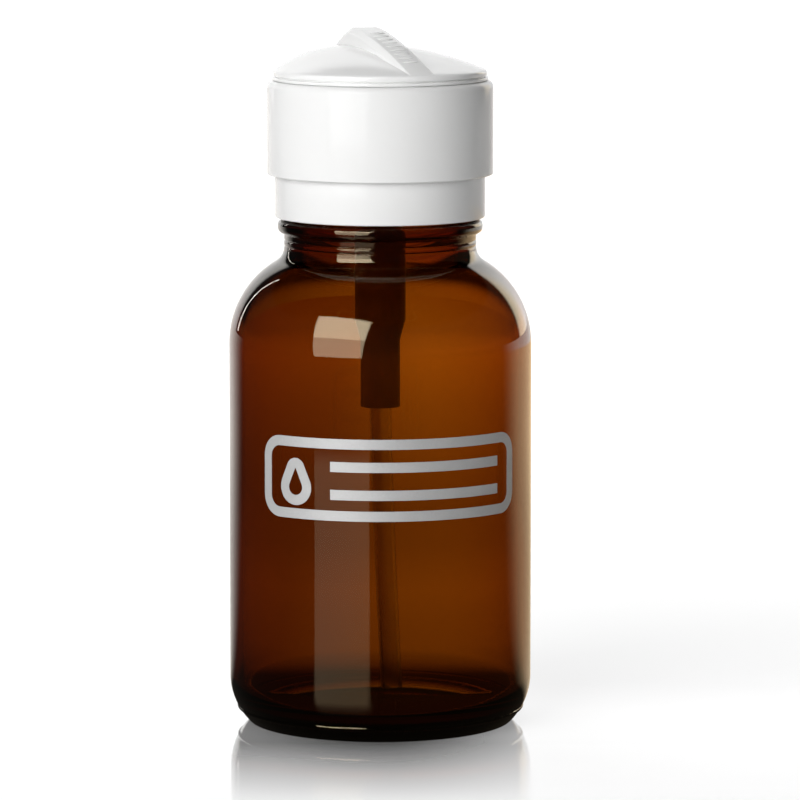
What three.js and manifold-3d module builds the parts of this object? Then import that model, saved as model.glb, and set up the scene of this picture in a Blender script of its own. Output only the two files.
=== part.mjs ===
// Push-down dish pump on an amber glass bottle.
// A screw cap clamps a piston pump in the bottle's neck. A sleeve and dish on the pump's stem are pressed
// down to bring liquid up into the dish, and a domed twist lid closes the dish.
// Millimetres, +Z up, origin at the centre of the base. The front is towards -Y.

import * as THREE from "three";
import { mergeVertices, toCreasedNormals } from "three/addons/utils/BufferGeometryUtils.js";
import Module from "manifold-3d";

const wasm = await Module();
wasm.setup();

// Facets of round shapes
const largeSides = 36;
const smallSides = 16;
const ballSides = 12;
const sealSides = 8;
const ventSides = 8;
const cornerSteps = 3;
const curveSteps = 7;
const creaseAngle = 30; // degrees between facets, beyond which an edge is drawn sharp
const mergeDistance = 1e-4;

// Clearances
const seatGap = 0.1; // between parts that rest on each other
const fitGap = 0.15; // between parts pushed into each other
const slideGap = 0.3; // between parts that slide or turn

// Glass bottle
const bodyRadius = 31.75;
const bodyHeight = 80.2; // up to the start of the shoulder
const glassWall = 2.6;
const floorThickness = 3.4;
const heelRadius = 13.5;
const heelTurn = 45; // degrees from the wall to the base's edge
const baseRound = 0.8;
const innerHeelRadius = 5.5;
const floorRise = 1.2; // from the floor's edge to its middle
const bearingWidth = 1.8;
const pushUp = 2;
const shoulderRadius = 20;
const neckFillet = 3.5;
const innerNeckFillet = 5;
const neckLength = 3;
const neckStep = 1.3; // neck beyond the threaded finish
const beadStep = 2.6; // bead beyond the threaded finish
const beadHeight = 2.8;
const beadRound = 1.1;
const finishRadius = 18.9;
const finishHeight = 10.2;
const finishWall = 2.6;
const finishRound = 0.6;

// Screw thread of the bottle and the cap
const threadPitch = 25.4 / 6;
const threadDepth = 1.1;
const threadTurns = 1.25;
const threadTopMargin = 2;
const threadRootWidth = 2;
const threadCrestWidth = 0.9;
const threadRunOut = 0.08; // turns over which a ridge fades in and out
const threadEnd = 0.1; // share of the depth that is left at a ridge's ends
const threadSink = 0.4; // depth of a ridge's root inside its wall

// Screw cap
const capWall = 1.7;
const capBeadGap = 0.5;
const capWeb = 1.4;
const capRound = 0.8;
const capEdge = 0.3;

// Gasket and pump cylinder
const gasketThickness = 0.9;
const flangeThickness = 1.2;
const barrelRadius = 5.3;
const barrelWall = 1.15;
const barrelLength = 32.3;
const barrelTaper = 4.3;
const tailWall = 1.7;
const tailLength = 14.2;
const ventRadius = 0.6;
const ventInset = 0.8; // below the piston's top at rest

// Inlet valve at the foot of the cylinder
const inletBallRadius = 2;
const inletBallTravel = 1.4;
const inletSeatHeight = 1.25;
const inletPassageRadius = 1.2;
const inletPassageLength = 1.2;
const inletChamberGap = 0.5;
const cageSeatRise = 0.8; // cage seat above the start of the taper
const cageHub = 3;
const cageFlange = 1;
const cageSlotWidth = 0.9;
const cageSlotHeight = 1.6;

// Dip tube
const dipTubeRadius = 2.3;
const dipTubeWall = 0.7;
const dipTubeFloorGap = 1.2;
const dipTubeLean = 2.35;
const dipTubeLeanPower = 1.3;
const dipTubeSteps = 16;
const dipTubeSides = 12;

// Gland, stem and piston
const stemBore = 1.5;
const stemWall = 1;
const bushOverlap = 1.7; // gland's head beyond the barrel
const bushHead = 1.4;
const bushDepth = 5.5;
const sealRadius = 0.55;
const pistonLength = 6;
const pistonSocket = 2.6;
const pistonRingHeight = 2.6;
const pistonRingWall = 0.9;
const pistonRingDrop = 1.2; // ring groove above the piston's foot

// Outlet valve in the stem
const outletBallTravel = 1.2;
const outletSeatLand = 0.4; // seat inside the ball's radius
const outletStopLand = 0.2; // stop inside the ball's radius
const outletStopLength = 1.5;
const outletSlotWidth = 0.6;

// Return spring
const springTurns = 6.5;
const springWire = 0.8;
const springGap = 0.65; // between the coils and the barrel
const springStepsPerTurn = 10;
const springSides = 5;

// Pump head: sleeve, dish and nozzle
const stroke = 7;
const strokeMargin = 0.6; // left between the head and the cap at the end of the stroke
const sleeveWall = 1.35;
const sleeveHeight = 19.7;
const sleeveRound = 1.5;
const sleeveLip = 1.75;
const sleeveLipRise = 0.5; // sleeve's top above the dish's rim
const dishSeat = 1.3;
const dishSeatWidth = 1.3;
const dishHeight = 4.8;
const dishWall = 1.4;
const dishDepth = 3;
const dishFloor = 1.4;
const dishRimDrop = 0.2; // bowl's edge below the rim's top
const snapWall = 1.2;
const snapReach = 0.4;
const snapDrop = 0.8;
const bossWall = 1.1;
const bossLength = 2.4;
const bossShelf = 0.8; // dish floor left above the stem
const nozzleHead = 2.6;
const nozzleHeadHeight = 0.6;
const nozzleWall = 0.5;
const nozzleLength = 4;

// Twist lid
const lidSkirtWall = 1.3;
const lidSkirtGap = 0.4;
const lidLipInset = 1.05; // rim's lip inside the sleeve
const lidLip = 0.5;
const lidGrooveDepth = 0.6; // from the lip
const lidGrooveHeight = 0.3;
const lidRimBatter = 0.3; // rim's upper edge inside the lip
const lidRimHeight = 1.95;
const lidRimRound = 0.55;
const lidRimTurn = 63; // degrees of the round from the rim to the dome
const lidRise = 4.75;
const lidRisePower = 2.3;
const lidApexShift = 8; // dome's top behind the axis, along the grip bar
const lidCrown = 3;
const lidLedge = 1.8;
const lidLedgeInset = 0.4;
const lidGasketThickness = 1;
const lugCount = 3;
const lugArc = 36; // degrees
const lugDepth = 0.8;
const lugHeight = 1.2;
const lugGap = 0.4;
const lugTurn = 60; // degrees from unlocked to locked

// Grip bar on the lid
const barHeading = -66; // degrees from +X, towards the front and right
const barWidth = 7.5;
const barRise = 8.4;
const barFallPower = 1.4;
const barInset = 0.2; // corners of the bar's ends inside the rim's upper edge
const barSink = 0.1; // bar's foot below its bevel where it ends
const barBevel = 1.1;
const barSteps = 18;

// Bottle levels and radii
const neckRadius = finishRadius + neckStep;
const beadRadius = finishRadius + beadStep;
const mouthRadius = finishRadius - finishWall;
const innerRadius = bodyRadius - glassWall;
const floorRadius = innerRadius - innerHeelRadius;
const floorTop = pushUp + floorThickness;
const floorEdge = floorTop - floorRise;
const shoulderCentre = bodyRadius - shoulderRadius;
const neckFilletCentre = neckRadius + neckFillet;
const neckBottom = bodyHeight + rise(shoulderRadius + neckFillet, neckFilletCentre - shoulderCentre);
const beadBottom = neckBottom + neckLength;
const beadTop = beadBottom + beadHeight;
const finishTop = beadTop + finishHeight;

// Cap, gasket and cylinder levels and radii
const capBore = finishRadius + threadDepth + slideGap;
const capRadius = capBore + capWall;
const capBottom = beadTop + capBeadGap;
const gasketBottom = finishTop + seatGap;
const flangeBottom = gasketBottom + gasketThickness + seatGap;
const flangeTop = flangeBottom + flangeThickness;
const flangeRadius = capBore - threadDepth - 2 * slideGap;
const webBottom = flangeTop + 2 * seatGap;
const capTop = webBottom + capWeb;
const bushRadius = barrelRadius + bushOverlap;
const capHole = bushRadius + slideGap;
const barrelBore = barrelRadius - barrelWall;
const taperTop = flangeBottom - barrelLength;
const tailTop = taperTop - barrelTaper;
const tailBottom = tailTop - tailLength;

// Inlet valve levels and radii
const inletChamberRadius = inletBallRadius + inletChamberGap;
const inletSeatSlope = (inletChamberRadius - inletPassageRadius) / inletSeatHeight;
const inletSeatReach = inletBallRadius * Math.hypot(1, inletSeatSlope);
const inletSeated = (inletSeatReach - inletPassageRadius) / inletSeatSlope;
const cageSeat = taperTop + cageSeatRise;
const cageTop = cageSeat + seatGap + cageFlange;
const cageBottom = cageSeat - cageHub;
const inletBallZ = cageBottom - slideGap - inletBallTravel - inletBallRadius;
const inletSeatBottom = inletBallZ - slideGap - inletSeated;
const socketTop = inletSeatBottom - inletPassageLength;
const socketRadius = dipTubeRadius + fitGap;
const tailRadius = socketRadius + tailWall;

// Stem, piston and outlet valve levels and radii
const stemRadius = stemBore + stemWall;
const bushTop = flangeTop + seatGap + bushHead;
const bushBottom = flangeTop - bushDepth;
const sealCentre = stemRadius + fitGap + sealRadius;
const sealSeatRadius = sealCentre + sealRadius + fitGap;
const sealSeatDepth = 2 * (sealRadius + seatGap);
const pistonTop = bushBottom - slideGap;
const pistonBottom = pistonTop - pistonLength;
const pistonRadius = barrelBore - slideGap;
const stemBottom = pistonTop - pistonSocket + seatGap;
const outletBallRadius = stemBore - slideGap;
const outletSeatRadius = outletBallRadius - outletSeatLand;
const outletBallZ = pistonTop - pistonSocket + rise(outletBallRadius, outletSeatRadius) + slideGap;
const outletStop = outletBallZ + outletBallRadius + outletBallTravel + slideGap;

// Head levels and radii, from the lowest that the dish may reach at the end of the stroke
const sleeveBore = capRadius + slideGap;
const sleeveRadius = sleeveBore + sleeveWall;
const sleeveLipBore = sleeveRadius - sleeveLip;
const bossStack = bossLength + dishFloor + dishDepth + dishRimDrop;
const snapStack = snapDrop + dishSeat + seatGap + dishHeight;
const dishTop = capTop + stroke + strokeMargin + Math.max(bossStack, snapStack);
const dishBottom = dishTop - dishHeight;
const seatTop = dishBottom - seatGap;
const seatBottom = seatTop - dishSeat;
const snapBottom = seatBottom - snapDrop;
const bowlEdge = dishTop - dishRimDrop;
const dishCentreTop = bowlEdge - dishDepth;
const dishCentreBottom = dishCentreTop - dishFloor;
const bossBottom = dishCentreBottom - bossLength;
const bossRadius = sealSeatRadius + bossWall;
const stemTop = dishCentreTop - bossShelf - seatGap;
const nozzleRadius = stemBore - slideGap;
const sleeveTop = dishTop + sleeveLipRise;
const sleeveBottom = sleeveTop - sleeveHeight;
const lidSkirtRadius = sleeveLipBore - slideGap;
const lidBore = lidSkirtRadius - lidSkirtWall;
const dishRadius = lidBore - lugDepth - slideGap;
const bowlRadius = dishRadius - dishWall;
const seatBore = dishRadius - dishSeatWidth;
const snapRadius = seatBore - fitGap;

// Lid levels and radii
const lidGasketBottom = dishTop + seatGap;
const lidLedgeZ = lidGasketBottom + lidGasketThickness + seatGap;
const lidSkirtBottom = seatTop + lidSkirtGap;
const lidSeat = sleeveTop + 2 * seatGap;
const lidLipRadius = sleeveRadius - lidLipInset;
const lidLipTop = lidSeat + lidLip;
const lidRimRadius = lidLipRadius - lidRimBatter;
const lidRimTop = lidSeat + lidRimHeight;
const lidCavityRadius = bowlRadius - lidLedgeInset;
const lidCavityEdge = lidLedgeZ + lidLedge;
const lidCavityRise = lidRimTop + lidRise - lidCrown - lidCavityEdge;
const lidLugTop = lidSkirtBottom + lugHeight;

// Materials
const amberGlass = new THREE.MeshStandardMaterial({ color: 0x7a3408, roughness: 0.05, metalness: 0 });
const whiteGloss = new THREE.MeshStandardMaterial({ color: 0xeeeeec, roughness: 0.22, metalness: 0 });
const whitePlain = new THREE.MeshStandardMaterial({ color: 0xe4e4e0, roughness: 0.45, metalness: 0 });
const clearPlastic = new THREE.MeshStandardMaterial({ color: 0xdcd8cc, roughness: 0.35, metalness: 0 });
const softSeal = new THREE.MeshStandardMaterial({ color: 0xcfcac0, roughness: 0.7, metalness: 0 });
const darkSeal = new THREE.MeshStandardMaterial({ color: 0x26262a, roughness: 0.75, metalness: 0 });
const steel = new THREE.MeshStandardMaterial({ color: 0xb9bcc0, roughness: 0.25, metalness: 1 });

// Height of a right triangle from its long side and its base
function rise(longSide, base) {
  return Math.sqrt(longSide ** 2 - base ** 2);
}

// Points of an arc in the profile plane, as radius and height, with angles in degrees
function arc(centreR, centreZ, radius, from, to, steps = cornerSteps) {
  return Array.from({ length: steps + 1 }, (_, i) => {
    const angle = THREE.MathUtils.degToRad(from + ((to - from) * i) / steps);
    return [centreR + radius * Math.cos(angle), centreZ + radius * Math.sin(angle)];
  });
}

// Height of a crown that rises from its edge to the axis
function crownHeight(r, edgeRadius, crownRise, power) {
  return crownRise * (1 - (Math.abs(r) / edgeRadius) ** power);
}

// Points of a profile between two radii, with their heights from a formula
function stretch(fromRadius, toRadius, steps, heightAt) {
  return Array.from({ length: steps + 1 }, (_, i) => {
    const r = fromRadius + ((toRadius - fromRadius) * i) / steps;
    return [r, heightAt(r)];
  });
}

// Points of a crown from its edge to the axis
function crown(edgeRadius, edgeZ, crownRise, power, steps = curveSteps) {
  return stretch(edgeRadius, 0, steps, (r) => edgeZ + crownHeight(r, edgeRadius, crownRise, power));
}

// A solid of revolution about Z, from a profile that runs anticlockwise
function turned(profile, sides) {
  const points = profile.map(([r, z]) => new THREE.Vector2(r, z));
  if (profile[0][0] > 0) points.push(points[0].clone());
  return new THREE.LatheGeometry(points, sides).rotateX(Math.PI / 2);
}

// A plain ring of rectangular section
function ring(innerR, outerR, bottom, height, sides) {
  const top = bottom + height;
  return turned([[innerR, bottom], [outerR, bottom], [outerR, top], [innerR, top]], sides);
}

// A ring of round section
function roundRing(centreRadius, centreZ, radius) {
  const lastAngle = 360 - 360 / sealSides;
  return turned(arc(centreRadius, centreZ, radius, 0, lastAngle, sealSides - 1), smallSides);
}

// A ball on the axis
function ball(radius, centreZ) {
  return new THREE.SphereGeometry(radius, ballSides, (2 * ballSides) / 3).translate(0, 0, centreZ);
}

// A stretch of a ring between two radii, centred on an angle in degrees
function ringStretch(innerR, outerR, bottom, height, angle, span) {
  const start = THREE.MathUtils.degToRad(angle - span / 2);
  const end = THREE.MathUtils.degToRad(angle + span / 2);
  const shape = new THREE.Shape();
  shape.absarc(0, 0, outerR, start, end, false);
  shape.absarc(0, 0, innerR, end, start, true);
  const options = { depth: height, bevelEnabled: false, curveSegments: cornerSteps };
  return new THREE.ExtrudeGeometry(shape, options).translate(0, 0, bottom);
}

// A box given by its size and centre
function block(width, depth, height, x, y, z) {
  return new THREE.BoxGeometry(width, depth, height).translate(x, y, z);
}

// A closed skin over a row of sections, whose points run anticlockwise as seen along the row
function skinned(sections) {
  const count = sections[0].length;
  const positions = sections.flat(2);
  const faces = [];
  for (let i = 0; i + 1 < sections.length; i += 1) {
    for (let j = 0; j < count; j += 1) {
      const a = i * count + j;
      const b = i * count + ((j + 1) % count);
      faces.push(a, b + count, b, a, a + count, b + count);
    }
  }
  const last = (sections.length - 1) * count;
  for (let j = 1; j + 1 < count; j += 1) {
    faces.push(0, j, j + 1, last, last + j + 1, last + j);
  }
  const geometry = new THREE.BufferGeometry();
  geometry.setAttribute("position", new THREE.Float32BufferAttribute(positions, 3));
  geometry.setIndex(faces);
  return geometry;
}

// A geometry as a body that can be joined and cut
function solid(geometry) {
  const bare = geometry.clone();
  bare.deleteAttribute("normal");
  bare.deleteAttribute("uv");
  const merged = mergeVertices(bare, mergeDistance);
  return new wasm.Manifold(new wasm.Mesh({
    numProp: 3,
    vertProperties: merged.attributes.position.array,
    triVerts: new Uint32Array(merged.index.array),
  }));
}

// A body back as a geometry
function geometryOf(body) {
  const { vertProperties, triVerts } = body.getMesh();
  const geometry = new THREE.BufferGeometry();
  geometry.setAttribute("position", new THREE.BufferAttribute(vertProperties, 3));
  geometry.setIndex(new THREE.BufferAttribute(triVerts, 1));
  return geometry;
}

// A named part with its own finish
function part(name, geometry, material) {
  const creased = toCreasedNormals(geometry, THREE.MathUtils.degToRad(creaseAngle));
  const mesh = new THREE.Mesh(creased, material);
  mesh.name = name;
  return mesh;
}

// One helical ridge from its lowest to its highest level, on the outside or the inside of a wall.
// Level 0 of the helix lies on +X, and it climbs anticlockwise, as a right-hand thread does.
function threadRidge(wallRadius, outward, helixZ, lowest, highest) {
  const turns = (highest - lowest) / threadPitch;
  const steps = Math.round(turns * largeSides);
  const sections = Array.from({ length: steps + 1 }, (_, i) => {
    const z = lowest + (i / steps) * (highest - lowest);
    const angle = (2 * Math.PI * (z - helixZ)) / threadPitch;
    const fromEnd = Math.min(i, steps - i) / largeSides;
    const depth = threadDepth * Math.min(1, Math.max(threadEnd, fromEnd / threadRunOut));
    const root = wallRadius - outward * threadSink;
    const crest = wallRadius + outward * depth;
    const corner = (r, h) => [r * Math.cos(angle), r * Math.sin(angle), z + outward * h];
    return [
      corner(root, -threadRootWidth / 2),
      corner(crest, -threadCrestWidth / 2),
      corner(crest, threadCrestWidth / 2),
      corner(root, threadRootWidth / 2),
    ];
  });
  return solid(skinned(sections));
}

// Levels of the bottle's thread. The cap's ridge runs below it by their two half widths and a clearance.
const bottleThreadTop = finishTop - threadTopMargin;
const bottleThreadBottom = bottleThreadTop - threadTurns * threadPitch;
const capThreadDrop = (threadRootWidth + threadCrestWidth) / 2 + slideGap;

// Angle in degrees at which the shoulder's arc passes into a neck fillet
function shoulderTangent(filletCentre, filletZ) {
  return THREE.MathUtils.radToDeg(Math.atan2(filletZ - bodyHeight, filletCentre - shoulderCentre));
}

function bottle() {
  const innerShoulder = shoulderRadius - glassWall;
  const innerCentre = mouthRadius + innerNeckFillet;
  const innerNeckZ = bodyHeight + rise(innerShoulder + innerNeckFillet, innerCentre - shoulderCentre);
  const tangent = shoulderTangent(neckFilletCentre, neckBottom);
  const innerTangent = shoulderTangent(innerCentre, innerNeckZ);
  const turn = THREE.MathUtils.degToRad(heelTurn);
  const heelCentre = bodyRadius - heelRadius;
  const heelZ = baseRound + (heelRadius - baseRound) * Math.sin(turn);
  const bearingOuter = heelCentre + (heelRadius - baseRound) * Math.cos(turn);
  const profile = [
    ...crown(bearingOuter - bearingWidth, 0, pushUp, 2, cornerSteps).reverse(),
    ...arc(bearingOuter, baseRound, baseRound, -90, -heelTurn, 2),
    ...arc(heelCentre, heelZ, heelRadius, -heelTurn, 0, curveSteps - 2).slice(1),
    ...arc(shoulderCentre, bodyHeight, shoulderRadius, 0, tangent, curveSteps),
    ...arc(neckFilletCentre, neckBottom, neckFillet, 180 + tangent, 180).slice(1),
    [neckRadius, beadBottom],
    ...arc(beadRadius - beadRound, beadBottom + beadRound, beadRound, -90, 0),
    ...arc(beadRadius - beadRound, beadTop - beadRound, beadRound, 0, 90),
    [finishRadius, beadTop],
    ...arc(finishRadius - finishRound, finishTop - finishRound, finishRound, 0, 90, 1),
    [mouthRadius, finishTop],
    ...arc(innerCentre, innerNeckZ, innerNeckFillet, 180, 180 + innerTangent),
    ...arc(shoulderCentre, bodyHeight, innerShoulder, innerTangent, 0, curveSteps).slice(1),
    ...arc(floorRadius, floorEdge + innerHeelRadius, innerHeelRadius, 0, -90).slice(0, -1),
    ...crown(floorRadius, floorEdge, floorRise, 2, cornerSteps),
  ];
  const ridge = threadRidge(finishRadius, 1, bottleThreadBottom, bottleThreadBottom, bottleThreadTop);
  return part("bottle", geometryOf(solid(turned(profile, largeSides)).add(ridge)), amberGlass);
}

function screwCap() {
  const shell = solid(turned([
    [capBore, capBottom],
    [capRadius - capEdge, capBottom],
    [capRadius, capBottom + capEdge],
    ...arc(capRadius - capRound, capTop - capRound, capRound, 0, 90),
    [capHole, capTop],
    [capHole, webBottom],
    [capBore, webBottom],
  ], largeSides));
  const helixZ = bottleThreadBottom - capThreadDrop;
  const lowest = capBottom + threadRootWidth;
  const ridge = threadRidge(capBore, -1, helixZ, lowest, bottleThreadTop - capThreadDrop);
  return part("screw_cap", geometryOf(shell.add(ridge)), whiteGloss);
}

function capGasket() {
  const geometry = ring(mouthRadius, flangeRadius, gasketBottom, gasketThickness, largeSides);
  return part("cap_gasket", geometry, softSeal);
}

function pumpCylinder() {
  const body = solid(turned([
    [socketRadius, tailBottom],
    [tailRadius, tailBottom],
    [tailRadius, tailTop],
    [barrelRadius, taperTop],
    [barrelRadius, flangeBottom],
    [flangeRadius, flangeBottom],
    [flangeRadius, flangeTop],
    [barrelBore, flangeTop],
    [barrelBore, cageSeat],
    [inletChamberRadius, cageSeat],
    [inletChamberRadius, inletSeatBottom + inletSeatHeight],
    [inletPassageRadius, inletSeatBottom],
    [inletPassageRadius, socketTop],
    [socketRadius, socketTop],
  ], smallSides));
  const vent = new THREE.CylinderGeometry(ventRadius, ventRadius, barrelRadius, ventSides)
    .rotateZ(Math.PI / 2)
    .translate(barrelRadius, 0, pistonTop - ventInset);
  return part("pump_cylinder", geometryOf(body.subtract(solid(vent))), clearPlastic);
}

function inletBall() {
  return part("inlet_ball", ball(inletBallRadius, inletBallZ), steel);
}

function inletCage() {
  const hubRadius = inletChamberRadius - fitGap;
  const flange = barrelBore - fitGap;
  const flangeZ = cageSeat + seatGap;
  const body = solid(turned([
    [inletPassageRadius, cageBottom],
    [hubRadius, cageBottom],
    [hubRadius, flangeZ],
    [flange, flangeZ],
    [flange, cageTop],
    [inletPassageRadius, cageTop],
  ], smallSides));
  const slotLength = 2 * inletChamberRadius;
  const slot = block(slotLength, cageSlotWidth, 2 * cageSlotHeight, 0, 0, cageBottom);
  const cross = block(cageSlotWidth, slotLength, 2 * cageSlotHeight, 0, 0, cageBottom);
  return part("inlet_cage", geometryOf(body.subtract(solid(slot).add(solid(cross)))), whitePlain);
}

// The dip tube leaves its socket straight and leans gently to the right on the way down
class DipTubePath extends THREE.Curve {
  getPoint(t, target = new THREE.Vector3()) {
    const top = socketTop - slideGap;
    const bottom = floorTop + dipTubeFloorGap;
    const z = top + (bottom - top) * t;
    const below = Math.max(0, (tailBottom - z) / (tailBottom - bottom));
    return target.set(dipTubeLean * below ** dipTubeLeanPower, 0, z);
  }
}

function dipTube() {
  const section = new THREE.Shape();
  section.absarc(0, 0, dipTubeRadius, 0, 2 * Math.PI, false);
  const bore = new THREE.Path();
  bore.absarc(0, 0, dipTubeRadius - dipTubeWall, 0, 2 * Math.PI, true);
  section.holes.push(bore);
  const geometry = new THREE.ExtrudeGeometry(section, {
    extrudePath: new DipTubePath(),
    steps: dipTubeSteps,
    curveSegments: dipTubeSides / 2,
  });
  return part("dip_tube", geometry, clearPlastic);
}

function glandBush() {
  const bore = stemRadius + slideGap;
  const geometry = turned([
    [bore, bushBottom],
    [barrelBore - fitGap, bushBottom],
    [barrelBore - fitGap, flangeTop + seatGap],
    [bushRadius, flangeTop + seatGap],
    [bushRadius, bushTop],
    [sealSeatRadius, bushTop],
    [sealSeatRadius, bushTop - sealSeatDepth],
    [bore, bushTop - sealSeatDepth],
  ], smallSides);
  return part("gland_bush", geometry, whitePlain);
}

function stemSeal() {
  const geometry = roundRing(sealCentre, bushTop - sealRadius - seatGap, sealRadius);
  return part("stem_seal", geometry, darkSeal);
}

function piston() {
  const grooveRadius = pistonRadius - pistonRingWall;
  const grooveBottom = pistonBottom + pistonRingDrop;
  const grooveTop = grooveBottom + pistonRingHeight + 2 * seatGap;
  const socket = stemRadius + fitGap;
  const geometry = turned([
    [outletSeatRadius, pistonBottom],
    [pistonRadius, pistonBottom],
    [pistonRadius, grooveBottom],
    [grooveRadius, grooveBottom],
    [grooveRadius, grooveTop],
    [pistonRadius, grooveTop],
    [pistonRadius, pistonTop],
    [socket, pistonTop],
    [socket, pistonTop - pistonSocket],
    [outletSeatRadius, pistonTop - pistonSocket],
  ], smallSides);
  return part("piston", geometry, whitePlain);
}

function pistonRing() {
  const inner = pistonRadius - pistonRingWall + fitGap;
  const bottom = pistonBottom + pistonRingDrop + seatGap;
  const geometry = ring(inner, barrelBore - fitGap, bottom, pistonRingHeight, smallSides);
  return part("piston_ring", geometry, softSeal);
}

function pistonStem() {
  const stopTop = outletStop + outletStopLength;
  const outletStopBore = outletBallRadius - outletStopLand;
  const tube = solid(turned([
    [stemBore, stemBottom],
    [stemRadius, stemBottom],
    [stemRadius, stemTop],
    [stemBore, stemTop],
    [stemBore, stopTop],
    [outletStopBore, stopTop],
    [outletStopBore, outletStop],
    [stemBore, outletStop],
  ], smallSides));
  const bypassZ = outletStop + outletStopLength / 2;
  const bypass = block(2 * stemBore, outletSlotWidth, 2 * outletStopLength, 0, 0, bypassZ);
  return part("piston_stem", geometryOf(tube.subtract(solid(bypass))), whitePlain);
}

function outletBall() {
  return part("outlet_ball", ball(outletBallRadius, outletBallZ), steel);
}

// The spring is one helix of even pitch, from the inlet cage to the piston's foot
function returnSpring() {
  const wireRadius = springWire / 2;
  const bottom = cageTop + seatGap + wireRadius;
  const top = pistonBottom - seatGap - wireRadius;
  const springRadius = barrelBore - springGap - wireRadius;
  const steps = Math.round(springTurns * springStepsPerTurn);
  const centres = [];
  const sections = Array.from({ length: steps + 1 }, (_, i) => {
    const angle = (2 * Math.PI * i) / springStepsPerTurn;
    const z = bottom + ((top - bottom) * i) / steps;
    centres.push(new THREE.Vector3(springRadius * Math.cos(angle), springRadius * Math.sin(angle), z));
    return Array.from({ length: springSides }, (__, j) => {
      const around = (2 * Math.PI * j) / springSides;
      const r = springRadius + wireRadius * Math.cos(around);
      return [r * Math.cos(angle), r * Math.sin(angle), z + wireRadius * Math.sin(around)];
    });
  });
  let leastGap = Infinity;
  centres.forEach((a, i) => {
    for (let j = i + springStepsPerTurn / 2; j < centres.length; j += 1) {
      leastGap = Math.min(leastGap, a.distanceTo(centres[j]) - springWire);
    }
  });
  console.log(`return_spring: least gap between turns ${leastGap.toFixed(2)} mm`);
  return part("return_spring", skinned(sections), steel);
}

function headSleeve() {
  const geometry = turned([
    [sleeveBore, sleeveBottom],
    [sleeveRadius, sleeveBottom],
    ...arc(sleeveRadius - sleeveRound, sleeveTop - sleeveRound, sleeveRound, 0, 90, curveSteps - 3),
    [sleeveLipBore, sleeveTop],
    [sleeveLipBore, seatTop],
    [seatBore, seatTop],
    [seatBore, seatBottom],
    [sleeveBore, seatBottom],
  ], largeSides);
  return part("head_sleeve", geometry, whiteGloss);
}

// The lugs of the dish or the lid, evenly spaced from an angle off the grip bar
function lugs(innerR, outerR, bottom, offset) {
  return Array.from({ length: lugCount }, (_, i) => {
    const angle = barHeading + offset + (360 * i) / lugCount;
    return solid(ringStretch(innerR, outerR, bottom, lugHeight, angle, lugArc));
  });
}

function dish() {
  const stemSocket = stemRadius + fitGap;
  const oRingSeat = bossBottom + sealSeatDepth;
  const nozzleHole = nozzleRadius + fitGap;
  const bowlRise = (r) => dishDepth * (r / bowlRadius) ** 2;
  const bowl = solid(turned([
    [sealSeatRadius, bossBottom],
    [bossRadius, bossBottom],
    ...stretch(bossRadius, snapRadius - snapWall, curveSteps - 3, (r) => dishCentreBottom + bowlRise(r)),
    [snapRadius - snapWall, snapBottom],
    [seatBore + snapReach, snapBottom + snapReach],
    [seatBore + snapReach, seatBottom - seatGap],
    [snapRadius, seatBottom - seatGap],
    [snapRadius, dishBottom],
    [dishRadius, dishBottom],
    [dishRadius, dishTop],
    [bowlRadius, dishTop],
    ...stretch(bowlRadius, nozzleHead + slideGap, curveSteps, (r) => dishCentreTop + bowlRise(r)),
    [nozzleHead + fitGap, dishCentreTop],
    [nozzleHole, dishCentreTop],
    [nozzleHole, dishCentreTop - bossShelf],
    [stemSocket, dishCentreTop - bossShelf],
    [stemSocket, oRingSeat],
    [sealSeatRadius, oRingSeat],
  ], largeSides));
  const dishLugs = lugs(dishRadius - dishWall / 2, lidBore - slideGap, lidLugTop + lugGap, lugTurn);
  const body = dishLugs.reduce((joined, lug) => joined.add(lug), bowl);
  return part("dish", geometryOf(body), whiteGloss);
}

function dishNozzle() {
  const headBottom = dishCentreTop + seatGap;
  const nozzleBore = nozzleRadius - nozzleWall;
  const geometry = turned([
    [nozzleBore, headBottom - nozzleLength],
    [nozzleRadius, headBottom - nozzleLength],
    [nozzleRadius, headBottom],
    [nozzleHead, headBottom],
    [nozzleHead, headBottom + nozzleHeadHeight / 2],
    [nozzleHead - nozzleHeadHeight, headBottom + nozzleHeadHeight],
    [nozzleBore, headBottom + nozzleHeadHeight],
  ], smallSides);
  return part("dish_nozzle", geometry, steel);
}

function dishORing() {
  const geometry = roundRing(sealCentre, bossBottom + sealRadius + seatGap, sealRadius);
  return part("dish_o_ring", geometry, darkSeal);
}

function lidGasket() {
  const geometry = ring(bowlRadius, lidBore - slideGap, lidGasketBottom, lidGasketThickness, largeSides);
  return part("lid_gasket", geometry, softSeal);
}

// A dome's level circles moved back along the grip bar as they rise from the rim
function leaned(geometry) {
  const heading = THREE.MathUtils.degToRad(barHeading);
  const position = geometry.attributes.position;
  for (let i = 0; i < position.count; i += 1) {
    const shift = (lidApexShift * Math.max(0, position.getZ(i) - lidRimTop)) / lidRise;
    position.setX(i, position.getX(i) - shift * Math.cos(heading));
    position.setY(i, position.getY(i) - shift * Math.sin(heading));
  }
  return geometry;
}

// The grip bar, highest over the dome's top and down to the rim at both ends, with bevelled edges
function gripBar() {
  const side = barWidth / 2;
  const edge = side - barBevel;
  const foot = lidRimTop - barBevel - barSink;
  const reach = rise(lidRimRadius - barInset, side);
  const sections = Array.from({ length: barSteps + 1 }, (_, i) => {
    const u = reach * ((2 * i) / barSteps - 1);
    const fromApex = u + lidApexShift;
    const span = reach + Math.sign(fromApex) * lidApexShift;
    const top = lidRimTop + crownHeight(fromApex, span, barRise, barFallPower);
    const shoulder = top - barBevel;
    return [
      [u, side, foot],
      [u, -side, foot],
      [u, -side, shoulder],
      [u, -edge, top],
      [u, edge, top],
      [u, side, shoulder],
    ];
  });
  return skinned(sections).rotateZ(THREE.MathUtils.degToRad(barHeading));
}

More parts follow.
